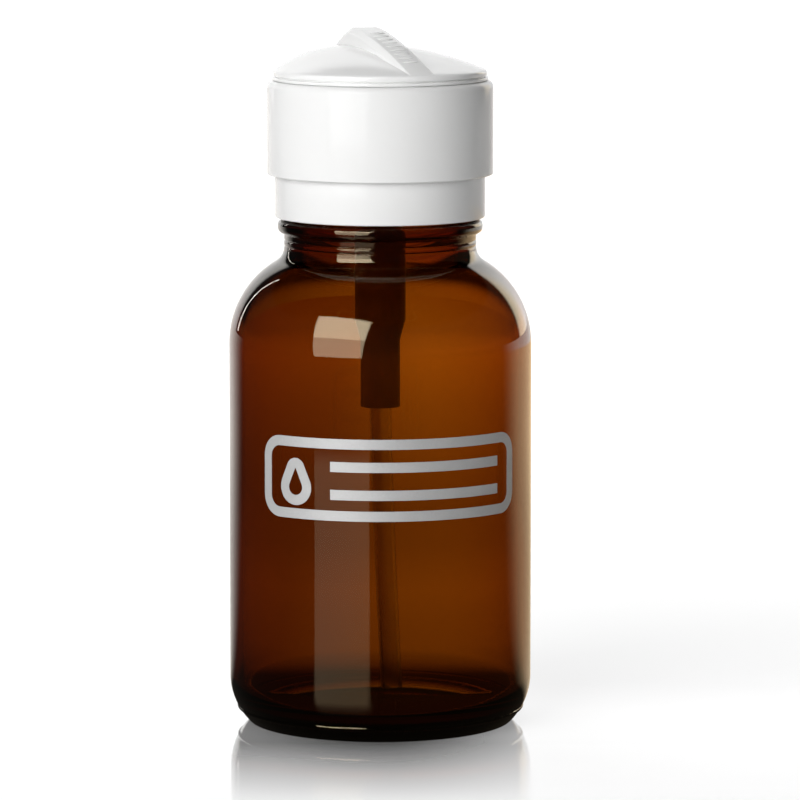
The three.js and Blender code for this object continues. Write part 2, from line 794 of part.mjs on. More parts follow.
function lid() {
  const turn = THREE.MathUtils.degToRad(lidRimTurn);
  const roundCentre = lidRimRadius - lidRimRound;
  const domeEdge = roundCentre + lidRimRound * Math.cos(turn);
  const outside = solid(leaned(turned([
    [0, lidSkirtBottom],
    [lidSkirtRadius, lidSkirtBottom],
    [lidSkirtRadius, lidSeat],
    [lidLipRadius, lidSeat],
    [lidLipRadius, lidLipTop],
    [lidLipRadius - lidGrooveDepth, lidLipTop + lidGrooveHeight / 2],
    [lidRimRadius, lidLipTop + lidGrooveHeight],
    ...arc(roundCentre, lidRimTop - lidRimRound * Math.sin(turn), lidRimRound, 0, lidRimTurn),
    ...crown(domeEdge, lidRimTop, lidRise, lidRisePower).slice(1),
  ], largeSides)));
  const hollow = solid(turned([
    [0, lidSkirtBottom - slideGap],
    [lidBore, lidSkirtBottom - slideGap],
    [lidBore, lidLedgeZ],
    [lidCavityRadius, lidLedgeZ],
    ...crown(lidCavityRadius, lidCavityEdge, lidCavityRise, lidRisePower),
  ], largeSides));
  const shell = outside.add(solid(gripBar())).subtract(hollow);
  const lidLugs = lugs(dishRadius + slideGap, lidBore + lidSkirtWall / 2, lidSkirtBottom, 0);
  const body = lidLugs.reduce((joined, lug) => joined.add(lug), shell);
  return part("lid", geometryOf(body), whiteGloss);
}

const pumpBottle = new THREE.Group();
pumpBottle.add(
  bottle(),
  screwCap(),
  capGasket(),
  pumpCylinder(),
  inletBall(),
  inletCage(),
  dipTube(),
  glandBush(),
  stemSeal(),
  piston(),
  pistonRing(),
  pistonStem(),
  outletBall(),
  returnSpring(),
  headSleeve(),
  dish(),
  dishNozzle(),
  dishORing(),
  lidGasket(),
  lid(),
);

export default pumpBottle;
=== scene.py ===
import math

import bmesh
import bpy
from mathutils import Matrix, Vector


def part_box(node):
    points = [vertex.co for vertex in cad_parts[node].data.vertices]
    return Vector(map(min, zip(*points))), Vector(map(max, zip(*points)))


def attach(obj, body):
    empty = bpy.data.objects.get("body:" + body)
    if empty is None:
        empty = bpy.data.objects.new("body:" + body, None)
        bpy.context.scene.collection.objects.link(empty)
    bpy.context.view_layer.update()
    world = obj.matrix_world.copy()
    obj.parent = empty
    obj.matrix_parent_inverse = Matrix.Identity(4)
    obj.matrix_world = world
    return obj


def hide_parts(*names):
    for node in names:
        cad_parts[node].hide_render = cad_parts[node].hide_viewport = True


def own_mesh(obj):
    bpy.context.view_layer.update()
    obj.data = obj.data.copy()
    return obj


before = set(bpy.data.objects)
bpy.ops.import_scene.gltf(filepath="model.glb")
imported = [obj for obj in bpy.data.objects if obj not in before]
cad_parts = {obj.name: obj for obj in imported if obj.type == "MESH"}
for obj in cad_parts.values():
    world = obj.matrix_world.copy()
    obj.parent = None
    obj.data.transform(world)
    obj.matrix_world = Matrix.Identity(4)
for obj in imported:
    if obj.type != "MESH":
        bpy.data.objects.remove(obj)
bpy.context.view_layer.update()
mm = 0.001

# Bottle
# Amber soda glass, blown in a mould: a straight body, a round shoulder, fine rings on the neck, and a bead under
# the screw finish. It stands on a ring round its pushed-up base, and the base plate leaves a seam on the heel.
bottle_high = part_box("bottle")[1]
body_radius = bottle_high.x
finish_top = bottle_high.z
glass_wall = 2.6 * mm
body_height = 80.2 * mm
heel_radius = 13.5 * mm
heel_turn = 45  # degrees from the wall to the base's edge
base_round = 0.8 * mm
inner_heel_radius = 5.5 * mm
bearing_width = 1.8 * mm
push_up = 2 * mm
floor_top = 5.4 * mm
floor_edge = 4.2 * mm
shoulder_radius = 20 * mm
neck_fillet = 3.5 * mm
inner_neck_fillet = 5 * mm
finish_radius = 18.9 * mm
finish_wall = 2.6 * mm
finish_round = 0.6 * mm
finish_bottom = finish_top - 10.2 * mm
neck_radius = finish_radius + 1.3 * mm
bead_radius = finish_radius + 2.6 * mm
bead_bottom = finish_bottom - 2.8 * mm
bead_round = 1.1 * mm
bead_fillet = 0.4 * mm
seam_height = 0.26 * mm
seam_round = 0.6 * mm
seam_angle = -30  # degrees round the heel's arc
ring_drops = (2.7 * mm, 1.45 * mm)  # middles of the neck's grooves below the bead
ring_half = 0.3 * mm
ring_depth = 0.16 * mm
thread_pitch = 25.4 * mm / 6
thread_turns = 1.25
thread_depth = 1.1 * mm
thread_sink = 0.4 * mm
thread_root = 2 * mm
thread_crest = 0.9 * mm
thread_round = 0.15 * mm
thread_run_out = 0.08  # turns over which a ridge fades in and out
thread_end = 0.1  # share of a ridge's height that is left at its ends
thread_top = finish_top - 2 * mm
thread_bottom = thread_top - thread_turns * thread_pitch
merge_distance = 1e-7
crease_angle = 35  # degrees between faces, beyond which an edge stays sharp


def add_node(tree, kind, *inputs, **settings):
    """A node with its settings, and its inputs as pairs of socket and value or source."""
    made = tree.nodes.new(kind)
    for name, value in settings.items():
        setattr(made, name, value)
    for socket, value in inputs:
        if isinstance(value, bpy.types.NodeSocket):
            tree.links.new(value, made.inputs[socket])
        else:
            made.inputs[socket].default_value = value
    return made


def work_out(tree, operation, *values):
    """The result of a math node."""
    return add_node(tree, "ShaderNodeMath", *enumerate(values), operation=operation).outputs[0]


def product(tree, result, *others):
    """Numbers multiplied in turn."""
    for other in others:
        result = work_out(tree, "MULTIPLY", result, other)
    return result


def parts_of(tree, vector):
    """The X, Y and Z of a vector."""
    return add_node(tree, "ShaderNodeSeparateXYZ", (0, vector)).outputs


def vector_of(tree, *parts):
    """A vector from its X, Y and Z."""
    return add_node(tree, "ShaderNodeCombineXYZ", *enumerate(parts)).outputs[0]


def new_tree(name, *inputs):
    """A geometry tree with named number inputs, and its input sockets."""
    tree = bpy.data.node_groups.new(name, "GeometryNodeTree")
    tree.interface.new_socket("Geometry", in_out="OUTPUT", socket_type="NodeSocketGeometry")
    tree.interface.new_socket("Geometry", in_out="INPUT", socket_type="NodeSocketGeometry")
    for label in inputs:
        kind = "NodeSocketInt" if label == "Sides" else "NodeSocketFloat"
        tree.interface.new_socket(label, in_out="INPUT", socket_type=kind)
    tree.interface.new_socket("Material", in_out="INPUT", socket_type="NodeSocketMaterial")
    return tree, tree.nodes.new("NodeGroupInput").outputs


def end_tree(tree, geometry, material):
    """Closes a tree: copies become mesh, and the material is set."""
    whole = add_node(tree, "GeometryNodeRealizeInstances", ("Geometry", geometry))
    painted = add_node(tree, "GeometryNodeSetMaterial", ("Geometry", whole.outputs[0]), ("Material", material))
    out = tree.nodes.new("NodeGroupOutput")
    tree.links.new(painted.outputs[0], out.inputs[0])


def settle(piece):
    """Turns what a piece's modifiers make into its own plain mesh."""
    bpy.context.view_layer.update()
    shown = piece.evaluated_get(bpy.context.evaluated_depsgraph_get())
    plain = bpy.data.meshes.new_from_object(shown)
    piece.modifiers.clear()
    piece.data = plain


def tidy_mesh(piece):
    """Merges doubles, closes open ends, turns the faces outwards, and keeps only sharp edges sharp."""
    shell = bmesh.new()
    shell.from_mesh(piece.data)
    bmesh.ops.remove_doubles(shell, verts=shell.verts, dist=merge_distance)
    bmesh.ops.holes_fill(shell, edges=shell.edges)
    bmesh.ops.recalc_face_normals(shell, faces=shell.faces)
    shell.to_mesh(piece.data)
    shell.free()
    piece.data.shade_smooth()
    piece.data.set_sharp_from_angle(angle=math.radians(crease_angle))


def grow(piece, tree, **values):
    """Runs a geometry tree on a piece and keeps the result as its plain mesh."""
    step = piece.modifiers.new(tree.name, "NODES")
    step.node_group = tree
    for item in tree.interface.items_tree:
        if item.in_out == "INPUT" and item.name in values:
            step[item.identifier] = values[item.name]
    settle(piece)
    tidy_mesh(piece)


def new_piece(name, points, edges=(), faces=()):
    """A mesh object in the row frame."""
    mesh = bpy.data.meshes.new(name)
    mesh.from_pydata(points, edges, faces)
    piece = bpy.data.objects.new(name, mesh)
    bpy.context.scene.collection.objects.link(piece)
    return piece


# A section swept about Z: each row of a grid takes its radius and height from a point of the section, and each
# column its turn and rise. Near the ends of the sweep a ridge may fade towards its root.
swept_tree, given = new_tree("swept_section", "Sides", "Start", "Turns", "Rise", "Root", "Taper", "End")
rows = add_node(swept_tree, "GeometryNodeAttributeDomainSize", ("Geometry", given["Geometry"]), component="MESH")
grid = add_node(swept_tree, "GeometryNodeMeshGrid", ("Size X", 1), ("Size Y", 1),
                ("Vertices X", work_out(swept_tree, "ADD", given["Sides"], 1)),
                ("Vertices Y", rows.outputs["Point Count"]))
place = swept_tree.nodes.new("GeometryNodeInputPosition").outputs[0]
cell = parts_of(swept_tree, place)
share = work_out(swept_tree, "ADD", cell["X"], 0.5)
last_row = work_out(swept_tree, "SUBTRACT", rows.outputs["Point Count"], 1)
row = product(swept_tree, work_out(swept_tree, "ADD", cell["Y"], 0.5), last_row)
point = add_node(swept_tree, "GeometryNodeSampleIndex", ("Geometry", given["Geometry"]), ("Value", place),
                 ("Index", work_out(swept_tree, "ROUND", row)), data_type="FLOAT_VECTOR")
section_point = parts_of(swept_tree, point.outputs[0])
from_end = work_out(swept_tree, "MINIMUM", share, work_out(swept_tree, "SUBTRACT", 1, share))
fade = work_out(swept_tree, "ADD", given["End"], work_out(swept_tree, "DIVIDE", from_end, given["Taper"]))
fade = work_out(swept_tree, "MINIMUM", fade, 1)
beyond_root = work_out(swept_tree, "SUBTRACT", section_point["X"], given["Root"])
radius = work_out(swept_tree, "MULTIPLY_ADD", beyond_root, fade, given["Root"])
turn = work_out(swept_tree, "ADD", product(swept_tree, share, math.tau, given["Turns"]), given["Start"])
spun = vector_of(swept_tree,
                 product(swept_tree, radius, work_out(swept_tree, "COSINE", turn)),
                 product(swept_tree, radius, work_out(swept_tree, "SINE", turn)),
                 work_out(swept_tree, "MULTIPLY_ADD", share, given["Rise"], section_point["Z"]))
shaped = add_node(swept_tree, "GeometryNodeSetPosition", ("Geometry", grid.outputs["Mesh"]), ("Position", spun))
end_tree(swept_tree, shaped.outputs[0], given["Material"])


def swept(name, section, material, sides=160, start=0.0, turns=1.0, rise=0.0, root=0.0, taper=1.0, end=1.0):
    """A section of radius and height swept about Z: one full turn without a rise is a turned piece."""
    piece = new_piece(name, [(r, 0, z) for r, z in section], [(i, i + 1) for i in range(len(section) - 1)])
    grow(piece, swept_tree, Sides=sides, Start=start, Turns=turns, Rise=rise, Root=root, Taper=taper, End=end,
         Material=material)
    return piece


def combine(piece, other, operation):
    """Joins a piece with another closed mesh, or cuts it by one. The other mesh is used up."""
    step = piece.modifiers.new("combine", "BOOLEAN")
    step.operation = operation
    step.object = other
    settle(piece)
    bpy.data.objects.remove(other)
    tidy_mesh(piece)


def arc(centre_r, centre_z, radius, start, end, steps):
    """Points of an arc in the section plane, with angles in degrees."""
    turns = [math.radians(start + (end - start) * i / steps) for i in range(steps + 1)]
    return [(centre_r + radius * math.cos(a), centre_z + radius * math.sin(a)) for a in turns]


def rounded(corners, steps=4):
    """A closed section from corners given as radius, height and round."""
    points = []
    for i, (r, z, bend) in enumerate(corners):
        corner = Vector((r, z))
        back = (Vector(corners[i - 1][:2]) - corner).normalized()
        ahead = (Vector(corners[(i + 1) % len(corners)][:2]) - corner).normalized()
        half = back.angle(ahead) / 2
        centre = corner + (back + ahead).normalized() * bend / math.sin(half)
        start = (corner + back * bend / math.tan(half) - centre).normalized()
        end = (corner + ahead * bend / math.tan(half) - centre).normalized()
        points += [tuple(centre + start.slerp(end, k / steps) * bend) for k in range(steps + 1)]
    return points + points[:1]


def rise_of(long_side, base):
    """Height of a right triangle."""
    return math.sqrt(long_side ** 2 - base ** 2)


def fillet_angle(fillet_r, fillet_z):
    """Angle at which the shoulder's arc passes into a neck fillet."""
    return math.degrees(math.atan2(fillet_z - body_height, fillet_r - shoulder_centre))


def stand_for(piece, node, body):
    """The piece takes the place of a CAD node and rides on its body."""
    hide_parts(node)
    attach(piece, body)


shoulder_centre = body_radius - shoulder_radius
outer_fillet_r = neck_radius + neck_fillet
outer_fillet_z = body_height + rise_of(shoulder_radius + neck_fillet, outer_fillet_r - shoulder_centre)
inner_shoulder = shoulder_radius - glass_wall
mouth_radius = finish_radius - finish_wall
inner_fillet_r = mouth_radius + inner_neck_fillet
inner_fillet_z = body_height + rise_of(inner_shoulder + inner_neck_fillet, inner_fillet_r - shoulder_centre)
outer_tangent = fillet_angle(outer_fillet_r, outer_fillet_z)
inner_tangent = fillet_angle(inner_fillet_r, inner_fillet_z)
heel_centre = body_radius - heel_radius
heel_level = base_round + (heel_radius - base_round) * math.sin(math.radians(heel_turn))
bearing_outer = heel_centre + (heel_radius - base_round) * math.cos(math.radians(heel_turn))
bearing_inner = bearing_outer - bearing_width
inner_radius = body_radius - glass_wall
base_steps = 14
curve_steps = 32
floor_reach = inner_radius - inner_heel_radius
push_up_points = []
floor_points = []
for i in range(base_steps + 1):
    share = i / base_steps
    push_up_points.append((bearing_inner * share, push_up * (1 - share ** 2)))
    floor_points.append((floor_reach * (1 - share), floor_top - (floor_top - floor_edge) * (1 - share) ** 2))
seam_reach = heel_radius + seam_height - seam_round
seam_r = heel_centre + seam_reach * math.cos(math.radians(seam_angle))
seam_z = heel_level + seam_reach * math.sin(math.radians(seam_angle))
seam_turn = math.degrees(math.acos(1 - seam_height / seam_round))
seam_half = math.degrees(seam_round * math.sin(math.radians(seam_turn)) / heel_radius)
heel_points = [
    *arc(heel_centre, heel_level, heel_radius, -heel_turn, seam_angle - seam_half, 12),
    *arc(seam_r, seam_z, seam_round, seam_angle - seam_turn, seam_angle + seam_turn, 10)[1:-1],
    *arc(heel_centre, heel_level, heel_radius, seam_angle + seam_half, 0, 24),
]
groove_points = []
for drop in ring_drops:
    for i in range(-4, 5):
        depth = ring_depth * (1 + math.cos(math.pi * i / 4)) / 2
        groove_points.append((neck_radius - depth, bead_bottom - drop + ring_half * i / 4))
bottle_profile = [
    *push_up_points,
    *arc(bearing_outer, base_round, base_round, -90, -heel_turn, 6)[:-1],
    *heel_points,
    *arc(shoulder_centre, body_height, shoulder_radius, 0, outer_tangent, curve_steps),
    *arc(outer_fillet_r, outer_fillet_z, neck_fillet, 180 + outer_tangent, 180, 12)[1:],
    *groove_points,
    *arc(neck_radius + bead_fillet, bead_bottom - bead_fillet, bead_fillet, 180, 90, 4),
    *arc(bead_radius - bead_round, bead_bottom + bead_round, bead_round, -90, 0, 8),
    *arc(bead_radius - bead_round, finish_bottom - bead_round, bead_round, 0, 90, 8),
    *arc(finish_radius + bead_fillet, finish_bottom + bead_fillet, bead_fillet, 270, 180, 4),
    *arc(finish_radius - finish_round, finish_top - finish_round, finish_round, 0, 90, 5),
    *arc(mouth_radius + finish_round, finish_top - finish_round, finish_round, 90, 180, 5),
    *arc(inner_fillet_r, inner_fillet_z, inner_neck_fillet, 180, 180 + inner_tangent, 12),
    *arc(shoulder_centre, body_height, inner_shoulder, inner_tangent, 0, curve_steps)[1:],
    *arc(floor_reach, floor_edge + inner_heel_radius, inner_heel_radius, 0, -90, 16),
    *floor_points[1:],
]


def new_material(name):
    """An empty node material, its tree and its output."""
    material = bpy.data.materials.new(name)
    material.use_nodes = True
    tree = material.node_tree
    tree.nodes.clear()
    return material, tree, tree.nodes.new("ShaderNodeOutputMaterial")


def noise_of(tree, scale, detail, stretch=None):
    """Noise of a given size in the piece's own coordinates, which may be stretched."""
    where = tree.nodes.new("ShaderNodeTexCoord").outputs["Object"]
    if stretch:
        where = add_node(tree, "ShaderNodeMapping", ("Vector", where), ("Scale", stretch)).outputs[0]
    noise = add_node(tree, "ShaderNodeTexNoise", ("Vector", where), ("Scale", scale), ("Detail", detail))
    return noise.outputs["Fac"]


def bumped(tree, pattern, height):
    """A normal bent by a pattern."""
    return add_node(tree, "ShaderNodeBump", ("Height", pattern), ("Distance", height)).outputs[0]


def wavy_normal(tree, scale, height):
    """A normal bent by noise of a given size."""
    return bumped(tree, noise_of(tree, scale, 2.0), height)


def coat(tree, out, *inputs):
    """Gives a material a principled surface."""
    surface = add_node(tree, "ShaderNodeBsdfPrincipled", *inputs)
    tree.links.new(surface.outputs[0], out.inputs["Surface"])


# Amber glass: coloured by the depth of glass that light passes, with a painted warm tint on the reflections at its
# surface
amber_glass, tree, out = new_material("amber_glass")
coat(tree, out, ("Base Color", (1, 1, 1, 1)), ("Roughness", 0.0), ("IOR", 1.52),
     ("Specular Tint", (1, 0.84, 0.56, 1)), ("Transmission Weight", 1.0), ("Normal", wavy_normal(tree, 45, 0.03 * mm)))
depth = add_node(tree, "ShaderNodeVolumeAbsorption", ("Color", (0.80, 0.57, 0.02, 1)), ("Density", 1250))
tree.links.new(depth.outputs[0], out.inputs["Volume"])

bottle = swept("bottle_glass", bottle_profile, amber_glass, sides=180)


def add_thread(piece, wall, outward, bottom, turns, start, material):
    """Joins a screw ridge to a wall of a piece, winding up from its lowest turn."""
    root = wall - outward * thread_sink
    crest = wall + outward * thread_depth
    corners = [(root, -thread_root / 2), (crest, -thread_crest / 2), (crest, thread_crest / 2), (root, thread_root / 2)]
    ridge = swept("thread", rounded([(r, bottom + z, thread_round) for r, z in corners]), material, sides=120,
                  start=start, turns=turns, rise=turns * thread_pitch, root=root, taper=thread_run_out / turns,
                  end=thread_end)
    combine(piece, ridge, "UNION")


add_thread(bottle, finish_radius, 1, thread_bottom, thread_turns, 0, amber_glass)
stand_for(bottle, "bottle", "bottle")

# Print on the glass
# Silver-grey ceramic ink, screen printed round the front and fired on: a plain frame to write in, with a drop
# and two ruled lines.
print_width = 60 * mm
print_height = 17 * mm
print_level = 55.3 * mm
print_turn = math.radians(5.6)
print_stroke = 2.1 * mm
frame_round = 3.4 * mm
stroke_corner = 1.1 * mm
ink_depth = 0.05 * mm
ink_step = 0.5 * mm
drop_place = -21.5 * mm
drop_radius = 2.7 * mm
drop_height = 9.4 * mm
rule_span = (-13.5 * mm, 24.5 * mm)
rule_levels = (2.7 * mm, -3.1 * mm)

# Strokes laid flat in XY, rounded at their corners, given width and depth, and wrapped on the glass
stroke_tree, given = new_tree("printed_stroke", "Stroke", "Depth", "Corner", "Step", "Radius", "Level", "Turn")
line = add_node(stroke_tree, "GeometryNodeMeshToCurve", ("Mesh", given["Geometry"]))
bent = add_node(stroke_tree, "GeometryNodeFilletCurve", ("Curve", line.outputs[0]), ("Count", 10),
                ("Radius", given["Corner"]), ("Limit Radius", True), mode="POLY")
even = add_node(stroke_tree, "GeometryNodeResampleCurve", ("Curve", bent.outputs[0]), ("Length", given["Step"]),
                mode="LENGTH")
nib = add_node(stroke_tree, "GeometryNodeCurvePrimitiveQuadrilateral", ("Width", given["Stroke"]),
               ("Height", given["Depth"]))
inked = add_node(stroke_tree, "GeometryNodeCurveToMesh", ("Curve", even.outputs[0]),
                 ("Profile Curve", nib.outputs[0]), ("Fill Caps", True))
flat = parts_of(stroke_tree, stroke_tree.nodes.new("GeometryNodeInputPosition").outputs[0])
around = work_out(stroke_tree, "ADD", work_out(stroke_tree, "DIVIDE", flat["X"], given["Radius"]), given["Turn"])
reach = work_out(stroke_tree, "ADD", flat["Z"], given["Radius"])
wrapped = vector_of(stroke_tree,
                    product(stroke_tree, reach, work_out(stroke_tree, "SINE", around)),
                    product(stroke_tree, reach, -1, work_out(stroke_tree, "COSINE", around)),
                    work_out(stroke_tree, "ADD", flat["Y"], given["Level"]))
laid = add_node(stroke_tree, "GeometryNodeSetPosition", ("Geometry", inked.outputs[0]), ("Position", wrapped))
end_tree(stroke_tree, laid.outputs[0], given["Material"])


def ranged(tree, value, start, end, low, high, kind="SMOOTHSTEP"):
    """A number that goes from low to high as a value goes from start to end."""
    return add_node(tree, "ShaderNodeMapRange", ("Value", value), ("From Min", start), ("From Max", end),
                    ("To Min", low), ("To Max", high), interpolation_type=kind).outputs[0]


# Silver ink: fine flakes in a grey binder, a little uneven from the screen
silver_ink, tree, out = new_material("silver_ink")
tone = ranged(tree, noise_of(tree, 4200, 2.0), 0, 1, 0.41, 0.52, "LINEAR")
grey = add_node(tree, "ShaderNodeCombineColor", ("Red", tone), ("Green", tone), ("Blue", tone)).outputs[0]
coat(tree, out, ("Base Color", grey), ("Metallic", 0.25), ("Roughness", 0.5),
     ("Normal", wavy_normal(tree, 2600, 0.008 * mm)))

# The drop is most of a circle, closed by two straight sides that meet in a point above it
drop_tip = drop_height / 2
drop_centre = drop_radius - drop_tip
drop_lean = math.degrees(math.asin(drop_radius / (drop_tip - drop_centre)))
drop_round = arc(drop_place, drop_centre, drop_radius, 180 - drop_lean, 360 + drop_lean, 24)
drop_outline = [(drop_place, drop_tip), *drop_round]
half_width, half_height = (print_width - print_stroke) / 2, (print_height - print_stroke) / 2
frame_corners = [(-half_width, -half_height), (half_width, -half_height),
                 (half_width, half_height), (-half_width, half_height)]
frame_outline = rounded([(x, y, frame_round) for x, y in frame_corners], steps=10)[:-1]
print_points = []
print_edges = []
for outline in (frame_outline, drop_outline):
    first = len(print_points)
    print_points += [(x, y, 0) for x, y in outline]
    print_edges += [(first + i, first + (i + 1) % len(outline)) for i in range(len(outline))]
for level in rule_levels:
    print_edges.append((len(print_points), len(print_points) + 1))
    print_points += [(x, level, 0) for x in rule_span]
glass_print = new_piece("glass_print", print_points, print_edges)
grow(glass_print, stroke_tree, Stroke=print_stroke, Depth=ink_depth, Corner=stroke_corner, Step=ink_step,
     Radius=body_radius + ink_depth / 2, Level=print_level, Turn=print_turn, Material=silver_ink)
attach(glass_print, "bottle")

# Cap gasket
# A flat ring of pale foamed rubber between the pump's flange and the bottle's rim.
gasket_low, gasket_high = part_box("cap_gasket")
gasket_round = 0.2 * mm


def blend(tree, share, low, high):
    """A colour that goes from low to high with a share."""
    return add_node(tree, "ShaderNodeMix", (0, share), (6, (*low, 1)), (7, (*high, 1)), data_type="RGBA").outputs[2]


def soft_rubber(name, colour, roughness=0.7):
    """Moulded rubber: a dull skin with a fine even grain and slight clouding."""
    material, tree, out = new_material(name)
    tint = blend(tree, noise_of(tree, 350, 3.0), [c * 0.88 for c in colour], colour)
    coat(tree, out, ("Base Color", tint), ("Roughness", roughness), ("IOR", 1.45),
         ("Normal", wavy_normal(tree, 3000, 0.01 * mm)))
    return material


def flat_ring(inner, outer, bottom, top, bend):
    """Section of a flat ring with rounded edges."""
    return rounded([(inner, bottom, bend), (outer, bottom, bend), (outer, top, bend), (inner, top, bend)])


pale_seal = soft_rubber("pale_seal", (0.72, 0.70, 0.66))
cap_gasket = swept("cap_gasket_ring", flat_ring(
    mouth_radius, gasket_high.x, gasket_low.z, gasket_high.z, gasket_round), pale_seal, sides=120)
stand_for(cap_gasket, "cap_gasket", "pump_body")

# Pump cylinder
# Polypropylene in one moulding, coloured a dark warm grey that is partly painted shade, as it stands backlit in the
# glass: a flange that the cap clamps, the barrel, and a stepped foot with the seat of the inlet valve and a socket for
# the dip tube. A small vent lets air in as liquid leaves.
cylinder_low, cylinder_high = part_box("pump_cylinder")
tube_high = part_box("dip_tube")[1]
cage_low, cage_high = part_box("inlet_cage")
piston_low, piston_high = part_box("piston")
flange_bottom = cylinder_high.z - 1.2 * mm
barrel_radius = 5.3 * mm
barrel_bore = barrel_radius - 1.15 * mm
taper_top = flange_bottom - 32.3 * mm
tail_top = taper_top - 4.3 * mm
tail_radius = 4.15 * mm
socket_radius = 2.45 * mm
socket_top = tube_high.z + 0.3 * mm
chamber_radius = 2.5 * mm
passage_radius = 1.2 * mm
seat_bottom = socket_top + 1.2 * mm
seat_height = 1.25 * mm
cage_seat = cage_high.z - 1.1 * mm
vent_radius = 0.6 * mm
vent_level = piston_high.z - 0.8 * mm
fine_round = 0.1 * mm
edge_round = 0.15 * mm
soft_round = 0.2 * mm
wide_round = 0.3 * mm


def moulded_plastic(name, colour, roughness, grain, gloss=0.5):
    """Plastic from a polished mould: faint flow marks in its colour and shine, and a very fine skin."""
    material, tree, out = new_material(name)
    flow = noise_of(tree, 60, 3.0)
    coat(tree, out, ("Base Color", blend(tree, flow, [c * 0.97 for c in colour], colour)),
         ("Roughness", ranged(tree, flow, 0, 1, roughness * 0.85, roughness * 1.15, "LINEAR")), ("IOR", 1.5),
         ("Specular IOR Level", gloss), ("Normal", wavy_normal(tree, 900, grain)))
    return material


def round_all(*corners):
    """A closed section with the same small round on every corner."""
    return rounded([(r, z, edge_round) for r, z in corners], steps=3)


# The cylinder's dark warm colour is partly painted shade, for it stands backlit inside the amber glass
pump_plastic = moulded_plastic("pump_plastic", (0.3, 0.2, 0.15), 0.35, 0.01 * mm)
cylinder = swept("pump_cylinder_body", round_all(
    (socket_radius, cylinder_low.z),
    (tail_radius, cylinder_low.z),
    (tail_radius, tail_top),
    (barrel_radius, taper_top),
    (barrel_radius, flange_bottom),
    (cylinder_high.x, flange_bottom),
    (cylinder_high.x, cylinder_high.z),
    (barrel_bore, cylinder_high.z),
    (barrel_bore, cage_seat),
    (chamber_radius, cage_seat),
    (chamber_radius, seat_bottom + seat_height),
    (passage_radius, seat_bottom),
    (passage_radius, socket_top),
    (socket_radius, socket_top),
), pump_plastic, sides=96)
vent_half = barrel_radius / 2
vent = swept("vent", [(0, -vent_half), (vent_radius, -vent_half), (vent_radius, vent_half), (0, vent_half)],
             pump_plastic, sides=24)
vent.data.transform(Vector((1, 0, 0)).to_track_quat("Z", "Y").to_matrix().to_4x4())
for vertex in vent.data.vertices:
    vertex.co += Vector((barrel_radius, 0, vent_level))
combine(cylinder, vent, "DIFFERENCE")
stand_for(cylinder, "pump_cylinder", "pump_body")

# Inlet ball
# A polished steel ball that seats under its own weight at the foot of the cylinder, as the suction valve.


def polished_steel(name, colour, roughness, stretch):
    """Bright steel with fine drawing or turning marks, stretched along the way that it was worked."""
    material, tree, out = new_material(name)
    marks = noise_of(tree, 500, 4.0, stretch)
    coat(tree, out, ("Base Color", (*colour, 1)), ("Metallic", 1.0),
         ("Roughness", ranged(tree, marks, 0, 1, roughness * 0.7, roughness * 1.4, "LINEAR")),
         ("Normal", bumped(tree, marks, 0.003 * mm)))
    return material


def valve_ball(name, node, material):
    """A ball on the axis, of the size and place that a CAD node gives."""
    low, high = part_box(node)
    size = (high.z - low.z) / 2
    piece = swept(name, arc(0, low.z + size, size, -90, 90, 24), material, sides=48)
    stand_for(piece, node, node)


ball_steel = polished_steel("ball_steel", (0.62, 0.63, 0.65), 0.12, (1, 1, 1))
valve_ball("inlet_ball_steel", "inlet_ball", ball_steel)

# Inlet cage
# A white plastic plug over the inlet ball. Crossed slots in its foot let liquid past the lifted ball, and its
# flange carries the return spring.
cage_hub = 2.35 * mm
cage_flange = cage_high.z - 1 * mm
cage_slot = (5 * mm, 0.9 * mm, 3.2 * mm)


def block(name, size, centre, material):
    """A plain block, to cut a slot with."""
    corners = [(x * size[0] / 2, y * size[1] / 2, z * size[2] / 2) for z in (-1, 1) for x, y in
               ((-1, -1), (1, -1), (1, 1), (-1, 1))]
    sides = [(i, (i + 1) % 4, (i + 1) % 4 + 4, i + 4) for i in range(4)]
    piece = new_piece(name, [Vector(corner) + Vector(centre) for corner in corners],
                      faces=[(3, 2, 1, 0), (4, 5, 6, 7), *sides])
    piece.data.materials.append(material)
    return piece


inner_plastic = moulded_plastic("inner_plastic", (0.8, 0.8, 0.78), 0.42, 0.01 * mm)
cage = swept("inlet_cage_plug", round_all(
    (passage_radius, cage_low.z),
    (cage_hub, cage_low.z),
    (cage_hub, cage_flange),
    (cage_high.x, cage_flange),
    (cage_high.x, cage_high.z),
    (passage_radius, cage_high.z),
), inner_plastic, sides=64)
for size in (cage_slot, (cage_slot[1], cage_slot[0], cage_slot[2])):
    combine(cage, block("slot", size, (0, 0, cage_low.z), inner_plastic), "DIFFERENCE")
stand_for(cage, "inlet_cage", "pump_body")

# Dip tube
# Milky polyethylene tube, pushed into the cylinder's socket. It was coiled when new, so it leans a little to the
# right on its way down.
tube_radius = 2.3 * mm
tube_wall = 0.7 * mm
tube_bottom = floor_top + 1.2 * mm
tube_lean = 2.35 * mm
tube_lean_power = 1.3
tube_steps = 48
overcut = 1 * mm  # by which a cutter passes the ends of its piece

# A round rod along a path
rod_tree, given = new_tree("round_rod", "Radius", "Sides")
path = add_node(rod_tree, "GeometryNodeMeshToCurve", ("Mesh", given["Geometry"]))
section = add_node(rod_tree, "GeometryNodeCurvePrimitiveCircle", ("Resolution", given["Sides"]),
                   ("Radius", given["Radius"]))
rod = add_node(rod_tree, "GeometryNodeCurveToMesh", ("Curve", path.outputs[0]), ("Profile Curve", section.outputs[0]))
end_tree(rod_tree, rod.outputs[0], given["Material"])

# Milky plastic: lets some light through, clouded along its length
tube_plastic, tree, out = new_material("tube_plastic")
tint = blend(tree, noise_of(tree, 900, 3.0, (1, 1, 0.15)), (0.84, 0.81, 0.74), (0.92, 0.90, 0.85))
coat(tree, out, ("Base Color", tint), ("Roughness", 0.1), ("IOR", 1.5), ("Transmission Weight", 0.94),
     ("Normal", wavy_normal(tree, 700, 0.01 * mm)))


